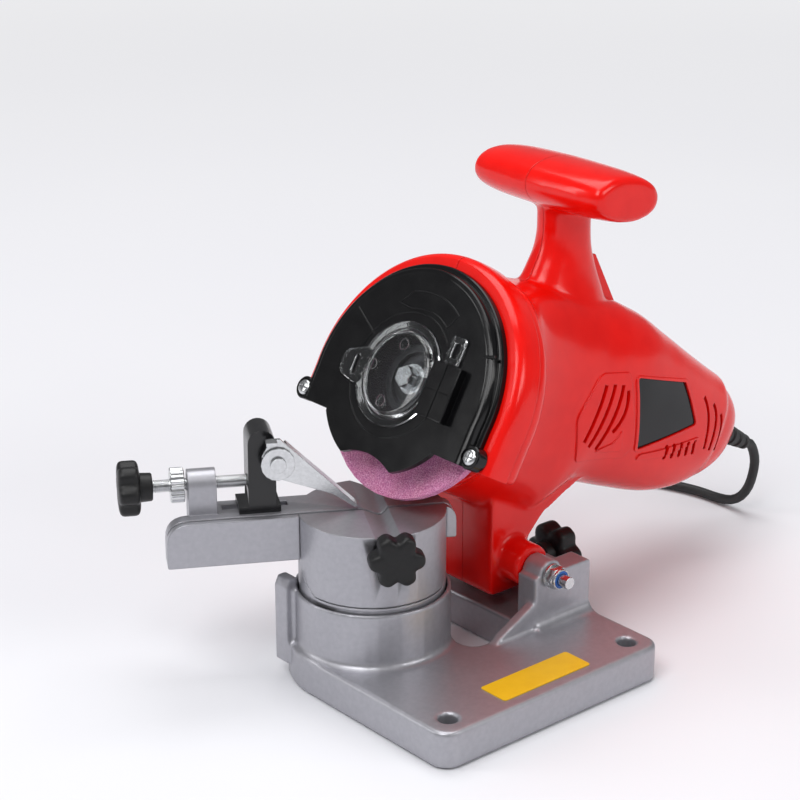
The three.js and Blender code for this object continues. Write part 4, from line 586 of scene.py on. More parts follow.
def tube(name, points, radius, sides=16):
    rings, side = [], None
    for i, point in enumerate(points):
        along = (points[min(i + 1, len(points) - 1)] - points[max(i - 1, 0)]).normalized()
        if side is None:
            side = along.orthogonal().normalized()
        side = (side - along * side.dot(along)).normalized()
        other = along.cross(side)
        rings.append([point + (side * math.cos(t) + other * math.sin(t)) * radius
                      for t in np.arange(sides) * 2 * math.pi / sides])
    return shade(lofted(name, rings), 60)


def lengthOf(line):
    return sum((b - a).length for a, b in zip(line, line[1:]))


def makeCords():
    turns, plugHeight = cord["loops"] * 2, plug["high"] / 2
    perTurn, leadSteps, fallStart, fallLong = 24, 8, 0.45, 0.4
    heading = Vector((math.sin(cord["start"]), -math.cos(cord["start"]), 0))
    first, last = coilPoint(0), coilPoint(turns)
    coil = [first - heading * cord["straight"], *[coilPoint(k / perTurn) for k in range(turns * perTurn + 1)]]
    for k in range(1, leadSteps + 1):
        point = last + heading * cord["lead"] * k / leadSteps
        fall = min(1, max(0, (k / leadSteps - fallStart) / fallLong))
        point.z = last.z + (plugHeight - last.z) * fall * fall * (3 - 2 * fall)
        coil.append(point)
    exitPoint = headFrame @ Vector((boot["tip"] + cord["gap"], 0, boot["v"]))
    meet = first - heading * (cord["straight"] + cord["gap"])
    runLine = splineThrough([exitPoint, *route, meet - heading * cord["straight"], meet], 4)
    runPiece = dress(tube("mains_lead", runLine, cord["radius"]), cordRubber, "base", ["cord_run"])
    coilPiece = dress(tube("mains_coil", coil, cord["radius"]), cordRubber, "base", ["cord_coil"])
    plugPiece = makePlug(coil[-1] + heading * cord["gap"], math.atan2(heading.y, heading.x), plugHeight)
    print("cord length", lengthOf(runLine) + lengthOf(coil))


def makePlug(end, turn, height):
    place = Matrix.Translation(Vector((end.x, end.y, height))) @ Matrix.Rotation(turn, 4, "Z")
    wide, high, rear, long, corner = plug["wide"] / 2, plug["high"] / 2, plug["rear"] / 2, plug["long"], 3
    outline = roundedOutline([(0, -rear, corner), (long, -wide, corner), (long, wide, corner),
                              (0, rear, corner)])
    body = bevelled(extruded("plug_body", outline, -high, high, "z", place), plug["round"], 4)
    pins = []
    for side in (-1, 1):
        centre, tip = (side * plug["apart"], 0), long + plug["pinLong"]
        pin = rod(f"pin{side}", plug["pin"], long - 2, tip, "x", centre, place, 20)
        pins.append(shade(bevelled(pin, plug["pinRound"], 3)))
    dress(body, cordRubber, "base", ["plug"])
    pinPiece = shade(dress(joined("plug_pins", pins), zincSteel, "base"))
    pinPiece.parent = body
    return body


makeCords()
print("cords made")


# Head shell
def monotone(xs, ys, at):
    xs, ys = np.array(xs, float), np.array(ys, float)
    h, d = np.diff(xs), np.diff(ys) / np.diff(xs)
    m = np.zeros_like(ys)
    m[0], m[-1] = d[0], d[-1]
    for i in range(1, len(xs) - 1):
        if d[i - 1] * d[i] > 0:
            w1, w2 = 2 * h[i] + h[i - 1], h[i] + 2 * h[i - 1]
            m[i] = (w1 + w2) / (w1 / d[i - 1] + w2 / d[i])
    k = np.clip(np.searchsorted(xs, at) - 1, 0, len(h) - 1)
    t = (at - xs[k]) / h[k]
    return ((1 + 2 * t) * (1 - t) ** 2 * ys[k] + t * (1 - t) ** 2 * h[k] * m[k]
            + t * t * (3 - 2 * t) * ys[k + 1] + t * t * (t - 1) * h[k] * m[k + 1])


def smoothRows(rows, count):
    table = np.array(rows, float)
    at = np.linspace(table[0, 0], table[-1, 0], count)
    return np.stack([at, *[monotone(table[:, 0], table[:, c], at) for c in range(1, table.shape[1])]], axis=1)


def squareness(value, power):
    return math.copysign(abs(value) ** (2 / power), value)


def superRing(u, half, top, bottom, power, count=96):
    points = []
    for k in range(count):
        angle = (k + 0.5) / count * math.pi * 2
        points.append((u, half * squareness(math.cos(angle), power),
                       (top + bottom) / 2 + (top - bottom) / 2 * squareness(math.sin(angle), power)))
    return points


body = {"start": 8, "end": 214, "half": 34, "top": 73, "bottom": 43, "power": 2.5}
bodyRows = [(0.00, 1.62, 0.80, 1.00), (0.035, 1.40, 0.80, 1.00), (0.08, 1.17, 0.82, 1.00),
            (0.14, 1.05, 0.86, 1.00), (0.24, 0.97, 0.92, 1.00), (0.33, 0.95, 0.97, 1.00),
            (0.375, 0.94, 0.99, 0.80), (0.415, 0.93, 1.00, 0.57), (0.48, 0.92, 1.00, 0.41),
            (0.60, 0.87, 0.96, 0.32), (0.73, 0.80, 0.91, 0.22), (0.82, 0.73, 0.88, 0.08),
            (0.875, 0.68, 0.865, -0.07)]
tailRows = [(0.86, 0.65, 0.845, -0.06), (0.89, 0.63, 0.83, -0.12), (0.93, 0.57, 0.79, -0.26),
            (0.97, 0.44, 0.72, -0.44), (1.00, 0.26, 0.62, -0.66)]
neck = {"x": 118, "bottom": 148, "top": 205, "half": 13.5, "wide": 11, "power": 2.2}
neckRows = [(0.00, 0.955, 2.15, 1.85), (0.18, 0.965, 1.90, 1.55), (0.33, 0.975, 1.60, 1.32),
            (0.48, 0.985, 1.30, 1.15), (0.62, 0.995, 1.08, 1.04), (0.78, 1.00, 1.00, 1.00),
            (1.00, 1.00, 1.00, 1.00)]
bar = {"x": 116, "z": 213.5, "near": 44, "far": 40, "long": 24, "high": 12.5, "slope": 0.18,
       "power": 2.1}
barRows = [(-1.0, 0.70, 0.66), (-0.99, 0.80, 0.77), (-0.97, 0.85, 0.83), (-0.4, 0.98, 0.98), (0, 1.00, 1.00),
           (0.4, 0.98, 0.98), (0.97, 0.85, 0.83), (0.99, 0.80, 0.77), (1.0, 0.70, 0.66)]
guard = {"radius": 65.5, "drop": 4.5, "front": 9, "back": 14, "bottom": 27, "straight": 9.5, "step": 4.5,
         "stepDeep": 0.5, "frontRadius": 62.2, "chamberWall": 3, "chamberBack": 7.5, "lip": 2.2,
         "lipWide": 4.6}


def bodyLoft(name, rows, inset=0.0, count=44):
    long = body["end"] - body["start"]
    rings = [superRing(body["start"] + place * long, body["half"] * width - inset, body["top"] * top - inset,
                       -body["bottom"] * bottom + inset, body["power"])
             for place, width, top, bottom in smoothRows(rows, count)]
    return lofted(name, rings, headFrame)


def guardOutline(radius, bottom, count=96):
    start = math.asin((guard["drop"] - guard["straight"]) / radius)
    half = radius * math.cos(start)
    points = [(-half, -bottom), (half, -bottom)]
    for k in range(count + 1):
        angle = start + (math.pi - 2 * start) * k / count
        points.append((radius * math.cos(angle), -guard["drop"] + radius * math.sin(angle)))
    return points


def guardLoft(name, rows, bottom=None):
    rings = [[(u, y, v) for y, v in guardOutline(radius, bottom or guard["bottom"])] for u, radius in rows]
    return lofted(name, rings, headFrame)


def neckLoft():
    rings = []
    for place, middle, half, wide in smoothRows(neckRows, 30):
        z = neck["bottom"] + place * (neck["top"] - neck["bottom"])
        long = neck["half"] * half
        ring = superRing(z, neck["wide"] * wide, long, -long, neck["power"])
        rings.append([(neck["x"] * middle + v, y, u) for u, y, v in ring])
    return lofted("neck", rings)


def barLoft():
    place = Matrix.Translation(Vector((bar["x"], 0, bar["z"]))) @ Matrix.Rotation(bar["slope"], 4, "Y")
    rings = []
    for share, long, high in smoothRows(barRows, 70):
        tall = bar["high"] * high
        along = share * (bar["near"] if share < 0 else bar["far"])
        ring = superRing(along, bar["long"] * long, tall, -tall, bar["power"])
        rings.append([(y, u, v) for u, y, v in ring])
    return lofted("bar", rings, place)


rimRows = [(0, 0), (0.06, 0.35), (0.18, 0.72), (0.38, 0.93), (0.65, 1), (1, 1)]
shoulderRows = [(0, 1), (0.5, 1), (0.82, 0.975), (1, 0.9)]
armOutline = [(56, 25.4, 3), (78.6, 25.4, 3), (78.6, 47.8, 3), (89, 59, 3), (104, 66, 3), (118, 72),
              (110, 95), (60, 110), (56, 80)]
plateCorners = [(101.6, 42.1), (142.0, 50.4), (161.2, 33.7), (123.2, 10.3)]
louvreLines = [[(80.8, 32.4), (81.8, 18.7), (81.0, 3.4)], [(86.6, 34.4), (88.0, 19.1), (86.0, 2.2)],
               [(92.4, 35.8), (94.6, 20.9), (92.4, 2.6)], [(97.2, 34.4), (101.0, 23.9), (98.4, 13.2)]]
tailLines = [[(162.6, 48.0), (171.3, 39.3), (178.2, 24.2)], [(172.9, 46.8), (179.2, 39.6), (183.4, 24.6)],
             [(182.0, 44.0), (186.4, 37.0), (189.8, 25.8)]]
louvrePanel = [(74.8, 34.5, 4), (78.0, 37.4, 3), (94.6, 42.8, 2.5), (118.2, 12.0, 2.5), (116.3, 3.9, 2),
               (82.3, -6.8, 3), (69.4, 12.6, 8)]
louvreStep = [(90.5, 0.0, 1), (109.9, 6.1, 1), (110.8, 7.5, 1), (104.6, 16.4, 1), (103.0, 9.0, 2)]
slotPanel = [(126.8, 5.2, 1), (143.6, 11.0, 1), (168.0, 26.0, 1), (168.5, 28.7, 1), (141.0, 14.7, 1),
             (127.7, 8.7, 1)]
vent = {"louvre": 2.5, "deep": 1.9, "tail": 2.2, "inner": 20, "tailInner": 10, "outer": 60, "count": 5,
        "u": 146.6, "v": 14.8, "stepU": 5.3, "stepV": 2.0, "small": 2.5, "long": 5.6, "through": 40,
        "middle": 38, "lean": math.radians(-63)}
screwPlaces = [(24, 50), (148, 46), (148, 6), (64.1, -36.4), (43, 89)]
hinge = {"x": 69.6, "z": 42.8, "bore": 3.3, "barrel": 10.4, "barrelHalf": 33.8}
shell = {"armHalf": 20, "voxel": 1.25, "passes": 14, "gap": 0.3, "spindle": 7.4,
         "screw": 3.7, "seam": 0.14, "reach": 60}
heel = (71, 78.6, -7, 7, 20, 30)
labelPlate = {"frame": 1.6, "gap": 0.3, "proud": 0.6, "face": 0.3, "back": 1.0, "sunk": 1.1, "corner": 1.5,
              "diagonal": 1.414}
raisedPanels = [(louvrePanel, 0.7), (louvreStep, 1.2), (slotPanel, 0.6)]
trigger = {"half": 4.6, "left": 131, "top": 176, "bottom": 147, "topOut": 135, "lowOut": 149, "slant": 1.2,
           "rise": 18, "pivotX": 146, "pivotZ": 151.5}


def grownPlate(grow):
    middle = [sum(corner[k] for corner in plateCorners) / 4 for k in (0, 1)]
    corners = []
    for u, v in plateCorners:
        du, dv = u - middle[0], v - middle[1]
        out = grow * labelPlate["diagonal"] / math.hypot(du, dv)
        corners.append((u + du * out, v + dv * out, labelPlate["corner"] + grow))
    return roundedOutline(corners, 5)


def triggerOutline(grow):
    top, low = trigger["top"] + grow, trigger["bottom"] - grow
    left, slant = trigger["left"] - grow, trigger["slant"]
    return roundedOutline([(left, top - slant), (trigger["topOut"] + grow, top, 1),
                           (trigger["lowOut"] + grow, low + slant * 2, 1),
                           (trigger["lowOut"] - slant, low, 1), (left, low + trigger["rise"])])


def curved(points, steps=12):
    start, through, end = points
    corner = [2 * b - (a + c) / 2 for a, b, c in zip(start, through, end)]
    return [bend(start, corner, end, t) for t in np.linspace(0, 1, steps)]


def band(points, wide):
    left, right = [], []
    for i, (x, y) in enumerate(points):
        before, after = points[max(i - 1, 0)], points[min(i + 1, len(points) - 1)]
        dx, dy = after[0] - before[0], after[1] - before[1]
        long = math.hypot(dx, dy)
        left.append((x - dy / long * wide / 2, y + dx / long * wide / 2))
        right.append((x + dy / long * wide / 2, y - dx / long * wide / 2))
    return left + right[::-1]


# prisms and rods in the head's frame, across the machine or along its axle
def acrossHead(name, outline, low, high):
    return extruded(name, outline, low, high, "y", headFrame)


def alongHead(name, outline, low, high):
    return extruded(name, outline, low, high, "x", headFrame)


def headRod(name, radius, low, high, centre, count=48):
    return rod(name, radius, low, high, "x", centre, headFrame, count)


def bothSides(name, outline, low, high):
    return [acrossHead(name, outline, *sorted((side * low, side * high))) for side in (-1, 1)]


def ventCutters():
    cutters = []
    for line in louvreLines:
        for piece in bothSides("louvre", band(curved(line), vent["louvre"]), vent["inner"], vent["outer"]):
            cutters.append(boolean(piece, [bodyLoft("floor", bodyRows, vent["deep"])]))
    for line in tailLines:
        cutters += bothSides("tailSlot", band(curved(line), vent["tail"]), vent["tailInner"], vent["outer"])
    upright = headFrame @ Matrix.Rotation(math.pi / 2, 4, "X")
    for side in (-1, 1):
        cutters.append(grown("smallSlots", slotRow, redPlastic, {
            "Count": vent["count"], "Start": (vent["u"] * mm, vent["v"] * mm, -side * vent["middle"] * mm),
            "Spacing": (vent["stepU"] * mm, vent["stepV"] * mm, 0.0), "Wide": vent["small"] * mm,
            "Long": vent["long"] * mm, "Deep": vent["through"] * mm, "Rotation": (0.0, 0.0, vent["lean"])},
            upright))
    return cutters


def raisedOn(main, outline, rise):
    pad = acrossHead("pad", roundedOutline(outline), -shell["reach"], shell["reach"])
    boolean(pad, [bodyLoft("skin", bodyRows, -rise)], "INTERSECT")
    return boolean(main, [pad], "UNION")


def pressed(turn):
    pivot = Vector((trigger["pivotX"], 0, trigger["pivotZ"]))
    rotation = Matrix.Rotation(math.radians(-turn), 4, "Y")
    return Matrix.Translation(pivot) @ rotation @ Matrix.Translation(-pivot)


def plateSlab(name, grow):
    return acrossHead(name, grownPlate(grow), -shell["reach"], 0)


def roughShell():
    front, long = -guard["front"], guard["front"] + guard["step"]
    widening = guard["radius"] - guard["frontRadius"]
    rim = guardLoft("rim", [(front + place * long, guard["frontRadius"] + share * widening)
                            for place, share in smoothRows(rimRows, 26)])
    shoulder = guardLoft("shoulder", [
        (guard["step"] - 2 * (1 - place) + place * (guard["back"] - guard["step"]),
         (guard["radius"] - guard["stepDeep"]) * share) for place, share in smoothRows(shoulderRows, 14)])
    main = bodyLoft("head_shell", bodyRows, count=64)
    boolean(main, [
        bodyLoft("tail", tailRows, count=30), neckLoft(), barLoft(), shoulder,
        extruded("arm", roundedOutline(armOutline), -shell["armHalf"], shell["armHalf"], "y"),
        rod("barrel", hinge["barrel"], -hinge["barrelHalf"], hinge["barrelHalf"], "y",
            (hinge["x"], hinge["z"])),
        block("heel", *heel)], "UNION")
    softened(main, shell["voxel"], shell["passes"])
    return boolean(main, [rim], "UNION")


def shellCutters():
    chamber, mouth = guard["radius"] - guard["chamberWall"], guard["frontRadius"] - guard["lipWide"]
    frontLip, low = -guard["front"] + guard["lip"], guard["bottom"] + 2
    half, reach = trigger["half"] + shell["gap"], shell["reach"]
    return [
        guardLoft("chamber", [(frontLip, chamber), (guard["chamberBack"], chamber)], low),
        guardLoft("mouth", [(-guard["front"] - 2, mouth), (frontLip + 1, mouth)], low),
        *[extruded("slotForTrigger", triggerOutline(shell["gap"]), -half, half, "y", pressed(turn))
          for turn in (0, 2, 4)],
        headRod("spindleHole", shell["spindle"], 0, 40, (0, 0)),
        rod("hingeBore", hinge["bore"], -reach, reach, "y", (hinge["x"], hinge["z"])),
        *[rod("screwHole", shell["screw"], 10, reach, "y", place, headFrame) for place in screwPlaces],
        *ventCutters()]


def makeShell():
    main = roughShell()
    cutters = shellCutters()
    for outline, rise in raisedPanels:
        raisedOn(main, outline, rise)
    boolean(main, cutters)
    # the label's frame stands proud and its field is sunk
    frameRing = boolean(plateSlab("label_frame", labelPlate["frame"]), [plateSlab("hole", 0)])
    boolean(frameRing, [bodyLoft("proud", bodyRows, -labelPlate["proud"])], "INTERSECT")
    field = plateSlab("field", labelPlate["gap"])
    boolean(main, [boolean(field, [bodyLoft("sunk", bodyRows, labelPlate["sunk"])])])
    plate = plateSlab("label_plate_fine", -labelPlate["gap"])
    boolean(plate, [bodyLoft("face", bodyRows, labelPlate["face"])], "INTERSECT")
    boolean(plate, [bodyLoft("back", bodyRows, labelPlate["back"])])
    dress(shade(plate, 32), labelBlack, "head", ["label_plate"])
    boolean(main, [frameRing], "UNION")
    boolean(main, [block("seam", -100, 300, -shell["seam"], shell["seam"], 0, 300)])
    print("shell faces", len(main.data.polygons))
    return dress(shade(main, 32), redPlastic, "head", ["housing_near", "housing_far"])


makeShell()
print("shell made")


# Knobs, screws, lead boot and hinge nut
alongX = Matrix(((0, 0, 1, 0), (1, 0, 0, 0), (0, 1, 0, 0), (0, 0, 0, 1)))
alongMinusY = Matrix.Rotation(math.pi / 2, 4, "X")
screwRadius, seat = 2.9, 0.3
knobs = {
    "clamp_knob": {"body": "clamp", "radius": 12.6, "lobe": 3.0, "face": -47.6, "head": -37.1,
                   "hubEnd": -32.1, "hub": 6.5, "hole": -42.3, "axis": "y", "centre": (3.4, 74.4),
                   "frame": viceFrame},
    "stop_knob": {"body": "stop_adjuster", "radius": 12.6, "lobe": 2.4, "face": -113.6, "head": -103.4,
                  "hubEnd": -98.0, "hub": 6.4, "hole": -105.4, "axis": "x", "centre": (13.0, 93.9),
                  "frame": viceFrame},
    "depth_knob": {"body": "depth_adjuster", "radius": 15.0, "lobe": 3.2, "face": 124.0, "head": 112.0,
                   "hubEnd": 107.0, "hub": 7.0, "hole": 122.0, "axis": "x", "centre": (0.0, 24.5),
                   "frame": plain},
}
knobShape = {"lobes": 6.0, "squareness": 5.5, "valley": 1.7, "hubEdge": 0.5, "flare": 0.4, "sink": 2,
             "past": 5}
lockNut = {"left": -90.0, "right": -83.7, "radius": 8.0, "lobes": 22, "lobe": 0.5, "edge": 0.4, "perLobe": 8}
stopAxis = (13.0, 93.9)
stopThread = {"start": -100.0, "shankStart": -101.4, "shankEnd": -99.6}
lug = {"y": 57.3, "v": -22.1, "radius": 5.4, "edge": 0.5, "front": -15.1, "back": -9.3, "screw": 2.1,
       "head": 4.1, "sunk": -13.9, "screwPlace": -14.2}
screwKinds = {
    "housing": {"Head Radius": 0.0034, "Head Length": 0.0036, "Shank Radius": 0.0015, "Shank Length": 0.0164,
                "Cross": 0.0021, "Rotation": (-math.pi / 2, 0.0, 0.0)},
    "cover": {"Head Radius": 0.0038, "Head Length": 0.0038, "Shank Radius": 0.0018, "Shank Length": 0.0105,
              "Cross": 0.0024, "Rotation": (0.0, -math.pi / 2, 0.0)},
}
hingeNut = {"flats": 5.77, "outer": -51.6, "inner": -47.8, "edge": 0.35, "seat": 4.25, "seatEnd": -52.4}
collarRows = [(4.6, -53.2), (4.9, -52.9), (5.0, -51.0)]
nylonRows = [(4.0, -53.35), (4.2, -53.1), (4.2, -52.45)]


def makeKnob(name, spec):
    axis, centre, frameOf = spec["axis"], spec["centre"], spec["frame"]
    middle = Matrix.Translation(axisPoint(axis, *centre, (spec["face"] + spec["head"]) / 2))
    place = frameOf @ middle @ (alongX if axis == "x" else alongMinusY)
    knob = grown(name + "_fine", lobedBody, blackMatte, {
        "Radius": spec["radius"] * mm, "Lobe Depth": spec["lobe"] * mm, "Lobes": knobShape["lobes"],
        "Length": abs(spec["face"] - spec["head"]) * mm, "Squareness": knobShape["squareness"],
        "Valley Power": knobShape["valley"]}, place)
    inward, edge = math.copysign(1, spec["hubEnd"] - spec["head"]), knobShape["hubEdge"]
    hubRows = [(spec["hub"] - edge, spec["hubEnd"]), (spec["hub"], spec["hubEnd"] - inward * edge),
               (spec["hub"] + knobShape["flare"], spec["head"] - inward * knobShape["sink"])]
    hub = turned("hub", sorted(hubRows, key=lambda row: row[1]), axis, centre, frameOf)
    boolean(knob, [hub], "UNION")
    low, high = sorted((spec["hole"], spec["hubEnd"] + inward * knobShape["past"]))
    boolean(knob, [rod("bore", screwRadius + seat, low, high, axis, centre, frameOf)])
    return dress(shade(knob, 38), blackMatte, spec["body"], [name])


def makeLockNut():
    left, right, edge, lobes = lockNut["left"], lockNut["right"], lockNut["edge"], lockNut["lobes"]
    count, rings = lobes * lockNut["perLobe"], []
    for w, drop in ((left, edge), (left + edge, 0), (right - edge, 0), (right, edge)):
        ring = []
        for t in np.arange(count) * 2 * math.pi / count:
            reach = lockNut["radius"] - drop - lockNut["lobe"] * (1 - math.cos(lobes * t)) / 2
            ring.append((w, stopAxis[0] + reach * math.cos(t), stopAxis[1] + reach * math.sin(t)))
        rings.append(ring)
    nut = lofted("stop_locknut_fine", rings, viceFrame)
    boolean(nut, [rod("bore", screwRadius + seat, left - 5, right + 5, "x", stopAxis, viceFrame)])
    dress(shade(nut, 30), zincSteel, "turntable", ["stop_locknut"])


def makeStopScrew():
    place = viceFrame @ Matrix.Translation((stopThread["start"], *stopAxis)) @ alongX
    thread = grown("thread", ribbedSleeve, zincSteel, {
        "Root Radius": screwRadius * mm, "End Radius": screwRadius * mm, "Length": 0.0475, "Rings": 47.0,
        "Groove": 0.0007, "Groove Share": 0.45, "Helix": 1.0}, place)
    shank = rod("shank", screwRadius, stopThread["shankStart"], stopThread["shankEnd"], "x", stopAxis,
                viceFrame)
    boolean(thread, [shank], "UNION")
    dress(shade(thread, 30), zincSteel, "stop_adjuster", ["stop_screw"])


def makeScrews():
    headY = 7.6
    spots = [("housing", number, (u, headY, v)) for number, (u, v) in enumerate(screwPlaces, 1)]
    spots += [("cover", name, (lug["screwPlace"], side * lug["y"], lug["v"]))
              for name, side in (("near", -1), ("far", 1))]
    for kind, name, spot in spots:
        place = headFrame @ Matrix.Translation(spot)
        screw = grown(f"{kind}_screw_{name}_fine", screwSet, zincSteel, screwKinds[kind], place, [(0, 0, 0)])
        dress(shade(screw, 35), zincSteel, "head", [f"{kind}_screw_{name}"])


def makeBoot():
    place = headFrame @ Matrix.Translation((boot["sleeve"], 0, boot["v"])) @ alongX
    sleeve = grown("strain_relief_fine", ribbedSleeve, cordRubber, {
        "Root Radius": boot["root"] * mm, "End Radius": boot["end"] * mm,
        "Length": (boot["tip"] - boot["sleeve"]) * mm, "Rings": 4.0, "Groove": 0.0008, "Groove Share": 0.45,
        "Helix": 0.0}, place)
    start, collar, edge, long = boot["start"], boot["collar"], boot["edge"], boot["collarLong"]
    root = turned("root", [
        (collar - edge, start), (collar, start + edge), (collar, start + long - edge),
        (collar - edge, start + long), (boot["root"], start + long),
        (boot["root"], boot["sleeve"] + boot["overlap"])], "x", (0, boot["v"]), headFrame)
    boolean(sleeve, [root], "UNION")
    dress(shade(sleeve, 35), cordRubber, "head", ["strain_relief"])


def makeNut():
    centre, far, near = (hinge["x"], hinge["z"]), -60, -40
    outer, inner = hingeNut["outer"], hingeNut["inner"]
    nut = rod("pivot_nut_fine", hingeNut["flats"], outer, inner, "y", centre, count=6)
    bevelled(nut, hingeNut["edge"], 2, 40)
    boolean(nut, [turned("collar", collarRows, "y", centre)], "UNION")
    boolean(nut, [rod("bore", hinge["bore"], far, near, "y", centre),
                  rod("seat", hingeNut["seat"], far, hingeNut["seatEnd"], "y", centre)])
    dress(shade(nut, 35), zincSteel, "base", ["pivot_nut"])
    ring = turned("nylon_ring", nylonRows, "y", centre)
    boolean(ring, [rod("bore", hinge["bore"] - 0.2, far, near, "y", centre)])
    dress(shade(ring, 35), blueNylon, "base")


for name, spec in knobs.items():
    makeKnob(name, spec)
makeLockNut()
makeStopScrew()
makeScrews()
makeBoot()
makeNut()
print("knobs and screws made")


# Wheel cover, its clear window and clip, in the head's frame: u runs back from the face
cover = {"front": -16.5, "inside": -13.9, "inner": 52}
coverRows = [(-16.5, 51.9), (-16.3, 52.3), (-16.0, 52.5), (-16.0, 53.4), (-15.9, 54.2), (-15.5, 54.8),
             (-14.9, 55.1), (-12.8, 55.5), (-12.8, 56.5), (-12.6, 57.3), (-12.1, 57.8), (-11.4, 58),
             (-9.3, 58)]
apron = {"side": 36.8, "radius": 45.6, "sideTop": 28, "lobe": 16.8, "lobeLow": 42.3, "middleLow": 38.3,
         "top": 18}
eye = {"centre": (0.8, -0.2), "hole": 21.5}
latch = {"near": -38.5, "far": -21, "low": -13.5, "high": 11.8, "front": -20.7, "line": 0.5, "room": 0.3,
         "edge": 0.35}
ribLines = {"rise": 0.35, "wide": 0.6, "ring": 29.7, "outer": 39.7, "inner": 31, "start": 73, "end": 122,
            "point": (17.7, 30.5)}
shortRibs = [([(41.7, 21.8), (24.9, 12.8)], 1), ([(-44.1, 20.5), (-50.2, 22.2)], 2)]
paneRows = [(0.01, -19.1), (17.9, -19.1), (18.6, -19.0), (19.1, -18.75), (19.5, -18.4), (19.9, -18.2),
            (24.2, -18.2), (24.6, -18.0), (24.7, -17.7), (24.7, -16.8), (21.2, -16.8), (21.2, -14.4),
            (20.0, -14.4), (19.3, -17.2), (18.4, -17.9), (0.01, -17.9)]
tabCorners = [(22.6, -11.2), (25.6, -11.2, 2), (37.2, -8.7, 5), (37.2, 1.7, 5), (25.6, 6.0, 2), (22.6, 6.0)]
tabSlot = [(26.7, -8, 1.3), (29.5, -8, 1.3), (29.5, 2, 1.3), (26.7, 2, 1.3)]
moulding = {"outer": 2.8, "inner": 2.35, "deep": -18.85,
            "spots": ((1.9, 13.2), (16.2, -0.1), (2.5, -14.2), (-11.1, -1.1))}
clipOutside = [(-32.2, 12.4, 1), (-24.2, 12.4, 1), (-24.2, 24.9, 2), (-32.2, 24.9, 2)]
clipInside = [(-30.6, 15.0, 1), (-25.8, 15.0, 1), (-25.8, 21.9, 1), (-30.6, 21.9, 1)]
clearFace = {"tab": -18.2, "clip": -18.4, "back": -16.8}
# cutters along the axle start well in front of the cover and end behind it
ahead, behind = -30, 0


def apronOutline():
    radius, low, middle = apron["radius"], apron["lobeLow"], apron["middleLow"]
    first, last = math.asin(apron["sideTop"] / radius), math.asin(low / radius)
    side = [(radius * math.cos(t), -radius * math.sin(t)) for t in np.linspace(first, last, 16)]
    lobe = (apron["lobe"], -low), (apron["lobe"] / 2, -middle), (0, -middle)
    dip = [bend(*lobe, t) for t in np.linspace(0.08, 1, 10)]
    right = [(apron["side"], -apron["top"]), *side, *dip]
    return right + [(-y, v) for y, v in reversed(right[:-1])]


def arc(radius, start, end):
    turns = [math.radians(t) for t in np.linspace(start, end, 24)]
    return [(radius * math.cos(t), radius * math.sin(t)) for t in turns]


def inset(outline, amount):
    points, count, bluntest = [], len(outline), 0.6
    for i, (x, y) in enumerate(outline):
        (px, py), (nx, ny) = outline[i - 1], outline[(i + 1) % count]
        ax, ay, bx, by = x - px, y - py, nx - x, ny - y
        la, lb = math.hypot(ax, ay), math.hypot(bx, by)
        mx, my = -ay / la - by / lb, ax / la + bx / lb
        reach = 2 * amount / max(mx * mx + my * my, bluntest)
        points.append((x + mx * reach, y + my * reach))
    return points


def faceRib(name, outline):
    return alongHead(name, outline, cover["front"] - ribLines["rise"], cover["front"] + 1)


def coverRibs():
    ring = headRod("ring", ribLines["ring"], cover["front"] - ribLines["rise"], cover["front"] + 1,
                   eye["centre"], 96)
    boolean(ring, [headRod("gap", ribLines["ring"] - ribLines["wide"], ahead, behind, eye["centre"], 96)])
    start, end = ribLines["start"], ribLines["end"]
    arrow = arc(ribLines["outer"], start, end) + arc(ribLines["inner"], end, start) + [ribLines["point"]]
    arrowGap = alongHead("gap", inset(arrow, ribLines["wide"]), ahead, behind)
    arrowRib = boolean(faceRib("arrow", arrow), [arrowGap])
    others = [faceRib("rib", band(line, ribLines["wide"] * times)) for line, times in shortRibs]
    return [ring, arrowRib, *others]


def makeCatch():
    near, far, low, high = [latch[key] for key in ("near", "far", "low", "high")]
    front, half, reach = latch["front"], latch["line"] / 2, 60
    catch = bevelled(block("catch", front, cover["front"] + 2, near, far, low, high, headFrame),
                     latch["edge"], 2)
    midY, midV = (near + far) / 2, (low + high) / 2
    lines = [(midY - half, midY + half, -reach, reach), (-reach, reach, midV - half, midV + half)]
    return boolean(catch, [block("line", ahead, front + latch["line"], *sides, headFrame) for sides in lines])


def latchRoom(grow):
    near, far, low, high = [latch[key] for key in ("near", "far", "low", "high")]
    return block("latchRoom", ahead, behind, near - grow, far + grow, low - grow, high + grow, headFrame)


def makeCover():
    skin = guardLoft("wheel_cover_fine", coverRows)
    boolean(skin, [guardLoft("hollow", [(cover["inside"], cover["inner"]), (5, cover["inner"])],
                             guard["bottom"] + 2)])
    plate = alongHead("apron", apronOutline(), cover["front"], cover["inside"])
    lugPlaces = [(side * lug["y"], lug["v"]) for side in (-1, 1)]
    lugRows = [(lug["radius"] - lug["edge"], lug["front"]), (lug["radius"], lug["front"] + lug["edge"]),
               (lug["radius"], lug["back"])]
    boolean(skin, [plate, *[turned("lug", lugRows, "x", place, headFrame) for place in lugPlaces]], "UNION")
    boolean(skin, coverRibs(), "UNION")
    boolean(skin, [headRod("eyeHole", eye["hole"], ahead, behind, eye["centre"], 96), latchRoom(0),
                   *[headRod("hole", lug["screw"], ahead, behind, place) for place in lugPlaces],
                   *[headRod("hole", lug["head"], ahead, lug["sunk"], place) for place in lugPlaces]])
    boolean(skin, [makeCatch()], "UNION")
    dress(shade(skin, 22), blackGloss, "head", ["wheel_cover"])


